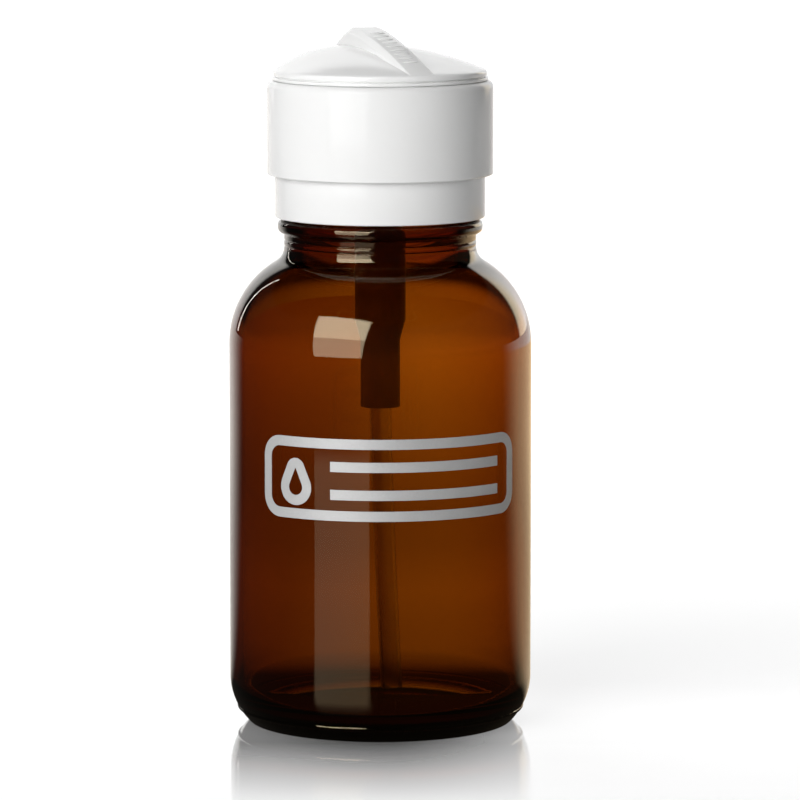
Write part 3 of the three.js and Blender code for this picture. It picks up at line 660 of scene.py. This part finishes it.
def tube_rod(name, radius, overrun):
    """A rod along the tube's path, which may overrun both ends."""
    points = []
    for i in range(tube_steps + 1):
        z = tube_high.z + overrun + (tube_bottom - tube_high.z - 2 * overrun) * i / tube_steps
        below = max(0, (cylinder_low.z - z) / (cylinder_low.z - tube_bottom))
        points.append((tube_lean * below ** tube_lean_power, 0, z))
    rod = new_piece(name, points, [(i, i + 1) for i in range(tube_steps)])
    grow(rod, rod_tree, Radius=radius, Sides=40, Material=tube_plastic)
    return rod


dip_tube = tube_rod("dip_tube_pipe", tube_radius, 0)
combine(dip_tube, tube_rod("tube_bore", tube_radius - tube_wall, overcut), "DIFFERENCE")
stand_for(dip_tube, "dip_tube", "pump_body")

# Return spring
# Spring steel wire, coiled at an even pitch between the inlet cage and the piston's foot. It shortens as the
# head is pressed.
spring_low, spring_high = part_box("return_spring")
spring_wire = 0.8 * mm
spring_turns = 6.5
spring_gap = 0.65 * mm
spring_radius = barrel_bore - spring_gap - spring_wire / 2
spring_length = spring_high.z - spring_low.z

spring_steel = polished_steel("spring_steel", (0.58, 0.59, 0.61), 0.22, (1, 1, 6))
spring = swept("return_spring_wire", arc(spring_radius, spring_low.z + spring_wire / 2, spring_wire / 2, 0, 360, 14),
               spring_steel, sides=320, turns=spring_turns, rise=spring_length - spring_wire)
stand_for(spring, "return_spring", "pump_body")
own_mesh(spring)

# Piston and its ring
# The piston is white plastic, socketed on the stem, with the outlet valve's seat in its middle. A softer ring in
# its groove wipes the barrel.
ring_low, ring_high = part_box("piston_ring")
stem_low, stem_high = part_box("piston_stem")
seat_gap = 0.1 * mm  # between pieces that rest on each other
fit_gap = 0.15 * mm  # between pieces pushed into each other
slide_gap = 0.3 * mm  # between pieces that slide or turn
outlet_seat = 0.8 * mm
piston_groove = piston_high.x - 0.9 * mm
stem_socket = stem_high.x + fit_gap
socket_floor = stem_low.z - seat_gap
ring_inner = piston_groove + fit_gap
ring_waist = ring_high.x - 0.25 * mm

piston = swept("piston_body", round_all(
    (outlet_seat, piston_low.z),
    (piston_high.x, piston_low.z),
    (piston_high.x, ring_low.z - seat_gap),
    (piston_groove, ring_low.z - seat_gap),
    (piston_groove, ring_high.z + seat_gap),
    (piston_high.x, ring_high.z + seat_gap),
    (piston_high.x, piston_high.z),
    (stem_socket, piston_high.z),
    (stem_socket, socket_floor),
    (outlet_seat, socket_floor),
), inner_plastic, sides=64)
stand_for(piston, "piston", "pump_head")

piston_ring = swept("piston_ring_seal", rounded([
    (ring_inner, ring_low.z, fine_round),
    (ring_high.x, ring_low.z, fine_round),
    (ring_waist, (ring_low.z + ring_high.z) / 2, wide_round),
    (ring_high.x, ring_high.z, fine_round),
    (ring_inner, ring_high.z, fine_round),
]), pale_seal, sides=64)
stand_for(piston_ring, "piston_ring", "pump_head")

# Piston stem
# A white plastic tube from the piston to the dish. A slotted stop inside it keeps the outlet ball down.
outlet_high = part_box("outlet_ball")[1]
stem_bore = stem_high.x - 1 * mm
stop_bottom = outlet_high.z + 1.5 * mm
stop_top = stop_bottom + 1.5 * mm
stop_bore = 1 * mm
bypass_size = (2 * stem_bore, 0.6 * mm, 3 * mm)

stem = swept("piston_stem_tube", rounded([
    (stem_bore, stem_low.z, fine_round),
    (stem_high.x, stem_low.z, soft_round),
    (stem_high.x, stem_high.z, wide_round),
    (stem_bore, stem_high.z, fine_round),
    (stem_bore, stop_top, fine_round),
    (stop_bore, stop_top, fine_round),
    (stop_bore, stop_bottom, fine_round),
    (stem_bore, stop_bottom, fine_round),
]), inner_plastic, sides=64)
combine(stem, block("bypass", bypass_size, (0, 0, (stop_bottom + stop_top) / 2), inner_plastic), "DIFFERENCE")
stand_for(stem, "piston_stem", "pump_head")

# Outlet ball
# A small polished steel ball on its seat in the piston, as the delivery valve.
valve_ball("outlet_ball_steel", "outlet_ball", ball_steel)

# Gland bush and stem seal
# The bush is white plastic, pressed into the top of the barrel to guide the stem. A black rubber ring in its
# top wipes the stem dry.
bush_low, bush_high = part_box("gland_bush")
seal_low, seal_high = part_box("stem_seal")
bush_bore = stem_high.x + slide_gap
bush_spigot = barrel_bore - fit_gap
bush_head = cylinder_high.z + seat_gap
seal_bend = (seal_high.z - seal_low.z) / 2
seal_seat = seal_high.x + fit_gap
seal_floor = seal_low.z - seat_gap

bush = swept("gland_bush_sleeve", round_all(
    (bush_bore, bush_low.z),
    (bush_spigot, bush_low.z),
    (bush_spigot, bush_head),
    (bush_high.x, bush_head),
    (bush_high.x, bush_high.z),
    (seal_seat, bush_high.z),
    (seal_seat, seal_floor),
    (bush_bore, seal_floor),
), inner_plastic, sides=72)
stand_for(bush, "gland_bush", "pump_body")


def round_seal(name, node, body):
    """A black ring of round section, of the size and place that a CAD node gives."""
    low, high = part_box(node)
    piece = swept(name, arc(high.x - seal_bend, (low.z + high.z) / 2, seal_bend, 0, 360, 16), dark_seal, sides=64)
    stand_for(piece, node, body)


dark_seal = soft_rubber("dark_seal", (0.03, 0.03, 0.033), 0.55)
round_seal("stem_seal_ring", "stem_seal", "pump_body")

# Screw cap
# White gloss plastic, moulded in one piece with its thread. It screws on the finish and clamps the pump's
# flange on its gasket, and its plain skirt shows below the pump head.
cap_low, cap_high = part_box("screw_cap")
cap_radius = cap_high.x
cap_bore = cap_radius - 1.7 * mm
cap_web = cap_high.z - 1.4 * mm
cap_hole = bush_high.x + slide_gap
cap_edge = 0.35 * mm
cap_round = 0.9 * mm
cap_thread_drop = (thread_root + thread_crest) / 2 + slide_gap

cap_plastic = moulded_plastic("cap_plastic", (0.78, 0.78, 0.775), 0.08, 0.001 * mm, gloss=0.14)
screw_cap = swept("screw_cap_skirt", rounded([
    (cap_bore, cap_low.z, soft_round),
    (cap_radius, cap_low.z, cap_edge),
    (cap_radius, cap_high.z, cap_round),
    (cap_hole, cap_high.z, wide_round),
    (cap_hole, cap_web, soft_round),
    (cap_bore, cap_web, wide_round),
]), cap_plastic)
cap_thread_bottom = cap_low.z + thread_root
cap_thread_turns = (thread_top - cap_thread_drop - cap_thread_bottom) / thread_pitch
cap_thread_start = math.tau * (cap_thread_bottom - thread_bottom + cap_thread_drop) / thread_pitch
add_thread(screw_cap, cap_bore, -1, cap_thread_bottom, cap_thread_turns, cap_thread_start, cap_plastic)
stand_for(screw_cap, "screw_cap", "screw_cap")

# Head sleeve
# White gloss plastic, the outer wall of the pump head. It slides down over the screw cap as the head is pressed,
# and holds the dish on a seat inside.
sleeve_low, sleeve_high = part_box("head_sleeve")
dish_low, dish_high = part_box("dish")
sleeve_radius = sleeve_high.x
sleeve_bore = sleeve_radius - 1.35 * mm
sleeve_lip = sleeve_radius - 1.75 * mm
dish_foot = dish_high.z - 4.8 * mm
seat_top = dish_foot - seat_gap
seat_under = seat_top - 1.3 * mm
seat_bore = 17.9 * mm
sleeve_edge = 0.25 * mm
sleeve_round = 1.45 * mm

head_plastic = moulded_plastic("head_plastic", (0.78, 0.78, 0.775), 0.08, 0.001 * mm, gloss=0.14)
head_sleeve = swept("head_sleeve_shell", rounded([
    (sleeve_bore, sleeve_low.z, sleeve_edge),
    (sleeve_radius, sleeve_low.z, wide_round),
    (sleeve_radius, sleeve_high.z, sleeve_round),
    (sleeve_lip, sleeve_high.z, sleeve_edge),
    (sleeve_lip, seat_top, soft_round),
    (seat_bore, seat_top, soft_round),
    (seat_bore, seat_under, soft_round),
    (sleeve_bore, seat_under, soft_round),
], steps=6), head_plastic)
stand_for(head_sleeve, "head_sleeve", "pump_head")

# Dish
# White gloss plastic bowl, snapped into the sleeve's seat and socketed on the stem. Three lugs round its rim
# take the lid's lugs.
lid_low, lid_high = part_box("lid")
dish_radius = 19.2 * mm
dish_round = 0.5 * mm
bowl_radius = dish_radius - 1.4 * mm
bowl_edge = dish_high.z - soft_round
bowl_depth = 3 * mm
bowl_floor = 1.4 * mm
dish_centre = bowl_edge - bowl_depth
boss_radius = seal_seat + 1.1 * mm
snap_radius = seat_bore - fit_gap
snap_inner = snap_radius - 1.2 * mm
snap_reach = 0.4 * mm
snap_bottom = seat_under - 0.8 * mm
nozzle_head = 2.6 * mm
nozzle_hole = 1.35 * mm
boss_shelf = dish_centre - 0.8 * mm
o_ring_seat = dish_low.z + 1.3 * mm
bar_heading = -66  # degrees
lug_count = 3
lug_arc = 36  # degrees
lug_height = 1.2 * mm
lug_gap = 0.4 * mm
lug_sink = 0.7 * mm
lug_turn = 60  # degrees from unlocked to locked
lid_bore = 20.3 * mm


def bowl_points(start, end, level, steps):
    """Points along the bowl's curve between two radii, over the level of its middle."""
    radii = [start + (end - start) * i / steps for i in range(steps + 1)]
    return [(r, level + bowl_depth * (r / bowl_radius) ** 2) for r in radii]


def add_lugs(piece, inner, outer, bottom, offset, material):
    """Joins evenly spaced lugs to a piece, from an angle off the grip bar."""
    for i in range(lug_count):
        start = math.radians(bar_heading + offset + 360 * i / lug_count - lug_arc / 2)
        lug = swept("lug", flat_ring(inner, outer, bottom, bottom + lug_height, edge_round), material, sides=16,
                    start=start, turns=lug_arc / 360)
        combine(piece, lug, "UNION")


dish = swept("dish_bowl", [
    (seal_seat, dish_low.z),
    (boss_radius, dish_low.z),
    *bowl_points(boss_radius, snap_inner, dish_centre - bowl_floor, 16),
    (snap_inner, snap_bottom),
    (seat_bore + snap_reach, snap_bottom + snap_reach),
    (seat_bore + snap_reach, seat_under - seat_gap),
    (snap_radius, seat_under - seat_gap),
    (snap_radius, dish_foot),
    *arc(dish_radius - edge_round, dish_foot + edge_round, edge_round, -90, 0, 3),
    *arc(dish_radius - dish_round, dish_high.z - dish_round, dish_round, 0, 90, 5),
    *arc(bowl_radius + soft_round, dish_high.z - soft_round, soft_round, 90, 180, 3),
    *bowl_points(bowl_radius, nozzle_head + slide_gap, dish_centre, 32),
    (nozzle_head + fit_gap, dish_centre),
    (nozzle_hole, dish_centre),
    (nozzle_hole, boss_shelf),
    (stem_socket, boss_shelf),
    (stem_socket, o_ring_seat),
    (seal_seat, o_ring_seat),
    (seal_seat, dish_low.z),
], head_plastic)
add_lugs(dish, dish_radius - lug_sink, lid_bore - slide_gap, lid_low.z + lug_height + lug_gap, lug_turn, head_plastic)
stand_for(dish, "dish", "pump_head")

# Dish nozzle and its seal
# A turned stainless insert with a low countersunk head, pushed through the dish into the stem. A black rubber
# ring seals the stem in the dish's boss.
nozzle_low, nozzle_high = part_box("dish_nozzle")
nozzle_radius = 1.2 * mm
nozzle_bore = 0.7 * mm
nozzle_under = nozzle_high.z - 0.6 * mm
nozzle_edge = 0.05 * mm
countersink = (nozzle_head - 0.6 * mm, nozzle_under + 0.3 * mm)  # radius at its top, and level of its foot

nozzle_steel = polished_steel("nozzle_steel", (0.60, 0.61, 0.63), 0.2, (1, 1, 8))
nozzle = swept("dish_nozzle_insert", rounded([
    (nozzle_bore, nozzle_low.z, fine_round),
    (nozzle_radius, nozzle_low.z, edge_round),
    (nozzle_radius, nozzle_under, nozzle_edge),
    (nozzle_head, nozzle_under, nozzle_edge),
    (nozzle_head, countersink[1], fine_round),
    (countersink[0], nozzle_high.z, wide_round),
    (nozzle_bore, nozzle_high.z, soft_round),
]), nozzle_steel, sides=72)
stand_for(nozzle, "dish_nozzle", "pump_head")
round_seal("dish_o_ring_seal", "dish_o_ring", "pump_head")

# Lid gasket
# A flat ring of pale rubber in the lid's ledge, which closes on the dish's rim.
washer_low, washer_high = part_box("lid_gasket")
lid_gasket = swept("lid_gasket_ring", flat_ring(
    bowl_radius, washer_high.x, washer_low.z, washer_high.z, gasket_round), pale_seal, sides=120)
stand_for(lid_gasket, "lid_gasket", "lid_gasket")

# Lid
# White gloss plastic: a twist lid with a lipped rim, a dome whose top lies behind the middle, and a bar to turn
# it by, which slopes down to the front. Its skirt drops inside the sleeve, and its lugs lock under the dish's.
lip_radius = lid_high.x
lip_round = 0.12 * mm
lid_seat = sleeve_high.z + 0.07 * mm
lip_top = lid_seat + 0.63 * mm
groove_radius = lip_radius - 0.6 * mm
groove_top = lip_top + 0.3 * mm
groove_level = (lip_top + groove_top) / 2
groove_half = 0.05 * mm
rim_radius = lip_radius - 0.3 * mm
rim_top = lid_seat + 2.08 * mm
rim_round = 0.55 * mm
rim_turn = 63  # degrees of the round from the rim to the dome
rim_round_level = rim_top - rim_round * math.sin(math.radians(rim_turn))
dome_edge = rim_radius - rim_round * (1 - math.cos(math.radians(rim_turn)))
skirt_radius = sleeve_lip - slide_gap
ledge = washer_high.z + seat_gap
cavity_radius = bowl_radius - 0.4 * mm
cavity_edge = ledge + 1.8 * mm
lug_root = 0.65 * mm
dome_rise = 4.75 * mm
dome_power = 2.3
dome_crown = 3 * mm
dome_rows = 40
apex_shift = 8 * mm
bar_half = 3.75 * mm
bar_bevel = 1.1 * mm
bar_round = 0.6 * mm
bar_edge = 0.05 * mm
bar_rise = 8.37 * mm
bar_power = 1.4
bar_foot = rim_top - bar_bevel - 0.1 * mm
bar_reach = rise_of(rim_radius - 0.2 * mm, bar_half)
bar_steps = 90
bar_along = Vector((math.cos(math.radians(bar_heading)), math.sin(math.radians(bar_heading)), 0))
bar_across = Vector((-bar_along.y, bar_along.x, 0))


def crown(edge, level, lift):
    """Points of a dome's section from its edge to the axis."""
    radii = [edge * (1 - i / dome_rows) for i in range(dome_rows + 1)]
    return [(r, level + lift * (1 - (r / edge) ** dome_power)) for r in radii]


def bar_crest(along):
    """Height of the bar's top: highest over the dome's top, and down to the rim at both ends."""
    from_apex = along + apex_shift
    span = bar_reach + math.copysign(apex_shift, from_apex)
    return rim_top + bar_rise * (1 - (abs(from_apex) / span) ** bar_power)


lid_plastic = moulded_plastic("lid_plastic", (0.82, 0.82, 0.815), 0.08, 0.001 * mm)
lid = swept("lid_dome", [
    (0, lid_low.z),
    *arc(skirt_radius - wide_round, lid_low.z + wide_round, wide_round, -90, 0, 4),
    (skirt_radius, lid_seat),
    *arc(lip_radius - lip_round, lid_seat + lip_round, lip_round, -90, 0, 4),
    *arc(lip_radius - lip_round, lip_top - lip_round, lip_round, 0, 75, 4),
    (groove_radius, groove_level - groove_half),
    (groove_radius, groove_level + groove_half),
    *arc(rim_radius - lip_round, groove_top + lip_round, lip_round, -65, 0, 4),
    *arc(rim_radius - rim_round, rim_round_level, rim_round, 0, rim_turn, 8),
    *crown(dome_edge, rim_top, dome_rise)[1:],
], lid_plastic, sides=240)
for vertex in lid.data.vertices:
    vertex.co -= bar_along * apex_shift * max(0, vertex.co.z - rim_top) / dome_rise

bar_points = []
for i in range(bar_steps + 1):
    along = bar_reach * (2 * i / bar_steps - 1)
    top = bar_crest(along)
    half_section = [(bar_half, bar_foot, bar_edge), (bar_half, top - bar_bevel, soft_round),
                    (bar_half - bar_bevel, top, bar_round)]
    section = rounded(half_section + [(-side, z, bend) for side, z, bend in reversed(half_section)])[:-1]
    bar_points += [bar_along * along + bar_across * side + Vector((0, 0, z)) for side, z in section]
ring_size = len(section)
bar_faces = [tuple(range(ring_size)), tuple(range(len(bar_points) - 1, len(bar_points) - ring_size - 1, -1))]
for first in range(0, len(bar_points) - ring_size, ring_size):
    for k in range(ring_size):
        a, b = first + k, first + (k + 1) % ring_size
        bar_faces.append((a, a + ring_size, b + ring_size, b))
grip_bar = new_piece("grip_bar", bar_points, faces=bar_faces)
grip_bar.data.materials.append(lid_plastic)
tidy_mesh(grip_bar)
combine(lid, grip_bar, "UNION")

lid_hollow = swept("lid_hollow", [
    (0, lid_low.z - overcut),
    (lid_bore, lid_low.z - overcut),
    (lid_bore, ledge),
    (cavity_radius, ledge),
    *crown(cavity_radius, cavity_edge, rim_top + dome_rise - dome_crown - cavity_edge),
], lid_plastic, sides=240)
combine(lid, lid_hollow, "DIFFERENCE")
add_lugs(lid, dish_radius + slide_gap, lid_bore + lug_root, lid_low.z, 0, lid_plastic)
stand_for(lid, "lid", "lid")

# Grip ribs on the lid's bar
# Low rounded ribs moulded across the bar's front slope, so that it can be turned with wet fingers.
rib_count = 9
rib_start = -1.5 * mm
rib_step = 2.1 * mm
rib_size = (0.5 * mm, 1.8 * mm, 0.25 * mm)

# Copies of a rib stand on points along the bar, turned to its heading
rib_tree, given = new_tree("grip_ribs", "Width", "Length", "Height", "Heading")
ball = add_node(rib_tree, "GeometryNodeMeshUVSphere", ("Segments", 20), ("Rings", 12), ("Radius", 1.0))
rib = add_node(rib_tree, "GeometryNodeTransform", ("Geometry", ball.outputs[0]),
               ("Scale", vector_of(rib_tree, given["Width"], given["Length"], given["Height"])))
ribs = add_node(rib_tree, "GeometryNodeInstanceOnPoints", ("Points", given["Geometry"]), ("Instance", rib.outputs[0]),
                ("Rotation", vector_of(rib_tree, 0, 0, given["Heading"])))
end_tree(rib_tree, ribs.outputs[0], given["Material"])

rib_points = []
for i in range(rib_count):
    along = rib_start + rib_step * i
    rib_points.append((bar_along.x * along, bar_along.y * along, bar_crest(along)))
grip_ribs = new_piece("grip_ribs", rib_points)
grow(grip_ribs, rib_tree, Width=rib_size[0], Length=rib_size[1], Height=rib_size[2],
     Heading=math.radians(bar_heading), Material=lid_plastic)
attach(grip_ribs, "lid")

# Studio
# A pale polished table before a white sweep, in a dark room: a large softbox at the front left with its glow painted on
# the table, a thin strip behind the left, a weak fill from the front right, and a soft light from above. The table
# carries more painted light and shade, which only glass and polished surfaces see.
table_front = -1.6
table_back = 3.0
table_half = 3.0
table_gloss = 0.05
table_shade = 0.55
table_bounce = 0.7
# Light and shade painted on the table for rays through the glass: its level by distance behind the bottle
sweep_levels = ((0.03, 0.05), (0.045, 0.28), (0.08, 0.48), (0.155, 0.58), (0.22, 0.43), (0.29, 0.41), (0.5, 0.68),
                (0.64, 0.92), (0.72, 0.84), (0.79, 0.7))  # distance behind the bottle, and level
sweep_reach = 0.8
front_shade = 0.12  # how far the bottle shades the table on its other sides
warm_side = (0.66, 0.46, 0.3)
clear_side = (1.18, 1.1, 0.6)
# The softbox's glow on the table is painted light, seen only by polished surfaces
glow_left = (1.235, 0.0216)  # slope and offset of the glow's edges on the table
glow_right = (0.141, 0.0023)
glow_edge = (-0.0025, 0.0025, 0, 1)
table_bias = 0.2
sky_bias = 0.11
dim = 0.02
sky_warmth = (1, 0.88, 0.68)
# Tints of the light painted on the table for polished surfaces: cooler on the left, warmer on the right
cool_mirror = (1.15, 1.1, 1.05)
warm_mirror = (1.25, 0.92, 0.55)
lamp_aim = Vector((0, 0, 0.08))

# Changes over the table and the sky: where each starts and ends, and the level at both
table_light = (0.0, 0.6, 0.55, 1.0)
polish_front = (-0.1, -0.028, 0.0, 0.9)
polish_back = (0.0, 0.05, 1.0, 0.35)
polish_right = (0.0, 0.04, 1.0, 0.45)
polish_left = (-0.03, 0.0, 0.86, 1.0)
side_tint = (-0.035, 0.035, 0.0, 1.0)
glow_near = (0.035, 0.06, 0, 0.8)
glow_far = (0.46, 0.53, 1, 0)
mirror_back = (0.42, 0.8, dim)  # up to the level of mirror_far
mirror_far = (0.2, 0.5, 0.7, 1.0)
warm_right = (-0.1, 0.1, 0, 1)
warm_near = (0.7, 0.85, 1, 0)
ambient_side = (-1, 1, 0.34, 0.05)
sky_back = (0.75, 0.81, dim, 1.0)
sky_right = (0.2, 0.6, 1.15, 2.7)
sky_top = (0.5, 0.55)  # from the level of sky_right down to dim
sky_warm = (0.35, 0.6, 0, 1)
through_right = (-0.12, 0.1, 0.45, 1.0)
through_top = (0.0, 0.1, 1.0, 0.05)


def mixed(tree, share, low, high):
    """A number that goes from low to high with a share."""
    return add_node(tree, "ShaderNodeMix", (0, share), (2, low), (3, high)).outputs[0]


def chosen(tree, share, low, high):
    """A shader that goes from one to another with a share."""
    return add_node(tree, "ShaderNodeMixShader", (0, share), (1, low), (2, high)).outputs[0]


def clear_paths(tree):
    """Sockets that tell camera rays, and clear or mirrored rays that no dull surface has scattered."""
    paths = tree.nodes.new("ShaderNodeLightPath").outputs
    clear = work_out(tree, "LESS_THAN", paths["Diffuse Depth"], 0.5)
    through = product(tree, paths["Is Transmission Ray"], clear)
    mirrored = product(tree, paths["Is Glossy Ray"], clear)
    return paths["Is Camera Ray"], through, mirrored


def leaning(tree, x, y, bias):
    """How far a place or direction lies to the back, a little more so on the right."""
    return work_out(tree, "MULTIPLY_ADD", x, bias, y)


table = new_piece("table", [(-table_half, table_front, 0), (table_half, table_front, 0), (table_half, table_back, 0),
                            (-table_half, table_back, 0)], faces=[(0, 1, 2, 3)])
table_white, tree, out = new_material("table_white")
camera_ray, through, mirrored = clear_paths(tree)
place = tree.nodes.new("ShaderNodeTexCoord").outputs["Object"]
spot = parts_of(tree, place)
away = add_node(tree, "ShaderNodeVectorMath", (0, place), operation="LENGTH").outputs["Value"]

# As the camera sees it: white, with the bottle's shadow, and polished near the bottle
glow = add_node(tree, "ShaderNodeEmission", ("Strength", ranged(tree, spot["Y"], *table_light)))
shade = add_node(tree, "ShaderNodeBsdfDiffuse", ("Color", (table_shade, table_shade, table_shade, 1)))
sheet_white = add_node(tree, "ShaderNodeAddShader", (0, glow.outputs[0]), (1, shade.outputs[0]))
polish = add_node(tree, "ShaderNodeBsdfGlossy", ("Color", (1, 1, 1, 1)), ("Roughness", table_gloss))
fade = product(tree, ranged(tree, spot["Y"], *polish_front, "LINEAR"), ranged(tree, spot["Y"], *polish_back),
               ranged(tree, spot["X"], *polish_right), ranged(tree, spot["X"], *polish_left))
seen = chosen(tree, fade, sheet_white.outputs[0], polish.outputs[0])

# As the glass shows it: light painted on the table behind the bottle, dark close round the bottle as painted shade, at
# uneven levels further back, and warmer on the left
depth = work_out(tree, "MAXIMUM", spot["Y"], work_out(tree, "SUBTRACT", away, front_shade))
sweep = add_node(tree, "ShaderNodeValToRGB", ("Fac", work_out(tree, "DIVIDE", depth, sweep_reach)))
stops = sweep.color_ramp.elements
while len(stops) < len(sweep_levels):
    stops.new(1.0)
for stop, (distance, level) in zip(stops, sweep_levels):
    stop.position = distance / sweep_reach
    stop.color = (level, level, level, 1)
tint = blend(tree, ranged(tree, spot["X"], *side_tint), warm_side, clear_side)
behind_glass = add_node(tree, "ShaderNodeEmission", ("Color", tint), ("Strength", sweep.outputs[0]))

# As polished surfaces mirror it: light painted on the table, white to the back, a painted glow of the softbox at the
# front left, and warmer on the right
back_share = work_out(tree, "DIVIDE", leaning(tree, spot["X"], spot["Y"], table_bias), away)
inside_left = work_out(tree, "SUBTRACT", spot["X"], work_out(tree, "MULTIPLY_ADD", spot["Y"], *glow_left))
inside_right = work_out(tree, "SUBTRACT", work_out(tree, "MULTIPLY_ADD", spot["Y"], *glow_right), spot["X"])
painted_glow_patch = product(tree, ranged(tree, inside_left, *glow_edge), ranged(tree, inside_right, *glow_edge),
                ranged(tree, away, *glow_near), ranged(tree, away, *glow_far))
warmth = product(tree, ranged(tree, spot["X"], *warm_right), ranged(tree, away, *warm_near))
back_light = ranged(tree, back_share, *mirror_back, ranged(tree, away, *mirror_far))
in_mirror = add_node(tree, "ShaderNodeEmission", ("Color", blend(tree, warmth, cool_mirror, warm_mirror)),
                     ("Strength", work_out(tree, "MAXIMUM", painted_glow_patch, back_light)))

bounce = add_node(tree, "ShaderNodeBsdfDiffuse", ("Color", (table_bounce, table_bounce, table_bounce, 1)))
hidden = chosen(tree, mirrored, bounce.outputs[0], in_mirror.outputs[0])
hidden = chosen(tree, through, hidden, behind_glass.outputs[0])
tree.links.new(chosen(tree, camera_ray, hidden, seen), out.inputs["Surface"])
table.data.materials.append(table_white)

world = bpy.data.worlds.new("studio")
bpy.context.scene.world = world
world.use_nodes = True
tree = world.node_tree
tree.nodes.clear()
camera_ray, through, mirrored = clear_paths(tree)
direction = parts_of(tree, tree.nodes.new("ShaderNodeTexCoord").outputs["Generated"])
ambient = ranged(tree, direction["X"], *ambient_side)
behind = product(tree, ranged(tree, leaning(tree, direction["X"], direction["Y"], sky_bias), *sky_back),
                 ranged(tree, direction["Z"], *sky_top, ranged(tree, direction["X"], *sky_right), dim))
level = mixed(tree, mirrored, ambient, behind)
level = mixed(tree, through, level, product(tree, ranged(tree, direction["X"], *through_right),
                                            ranged(tree, direction["Z"], *through_top)))
level = mixed(tree, camera_ray, level, 1.0)
warmth = product(tree, mirrored, ranged(tree, direction["X"], *sky_warm))
sky = add_node(tree, "ShaderNodeBackground", ("Color", blend(tree, warmth, (1, 1, 1), sky_warmth)), ("Strength", level))
out = tree.nodes.new("ShaderNodeOutputWorld")
tree.links.new(sky.outputs[0], out.inputs["Surface"])


def softbox(name, width, height, azimuth, elevation, distance, power, mirrored=True, spread=True):
    """A rectangular light that faces the middle of the object."""
    lamp = bpy.data.lights.new(name, "AREA")
    lamp.shape = "RECTANGLE"
    lamp.size, lamp.size_y, lamp.energy = width, height, power
    lamp_object = bpy.data.objects.new(name, lamp)
    a, e = math.radians(azimuth), math.radians(elevation)
    away = Vector((math.sin(a) * math.cos(e), -math.cos(a) * math.cos(e), math.sin(e)))
    lamp_object.location = lamp_aim + away * distance
    lamp_object.rotation_mode = "QUATERNION"
    lamp_object.rotation_quaternion = away.to_track_quat("Z", "Y")
    lamp_object.visible_camera = False
    lamp_object.visible_transmission = False
    lamp_object.visible_glossy = mirrored
    lamp_object.visible_diffuse = spread
    bpy.context.scene.collection.objects.link(lamp_object)


softbox("key_light", 0.72, 0.86, -32, 17, 1.0, 9.4)
softbox("key_upper", 0.72, 0.42, -32, 29, 0.97, 4.2, spread=False)
softbox("edge_light", 0.02, 0.6, -140, 17, 1.0, 0.25)
softbox("fill_light", 0.5, 0.5, 14, 22, 1.1, 1.0, mirrored=False)
softbox("top_light", 0.9, 0.7, -168, 63, 1.1, 5.2, mirrored=False)

# Camera
# A long lens at the photograph's place: a little above the bottle, and a little to the right of its axis.
aim = Vector((4.14 * mm, 0, 67.95 * mm))
camera_distance = 1.169
camera_pitch = math.radians(7.34)
lens = bpy.data.cameras.new("camera")
lens.lens, lens.sensor_width = 250, 36
camera = bpy.data.objects.new("camera", lens)
bpy.context.scene.collection.objects.link(camera)
camera.location = aim + Vector((0, -math.cos(camera_pitch), math.sin(camera_pitch))) * camera_distance
camera.rotation_euler = (math.pi / 2 - camera_pitch, 0, 0)
bpy.context.scene.camera = camera
bpy.context.scene.view_settings.view_transform = "Standard"
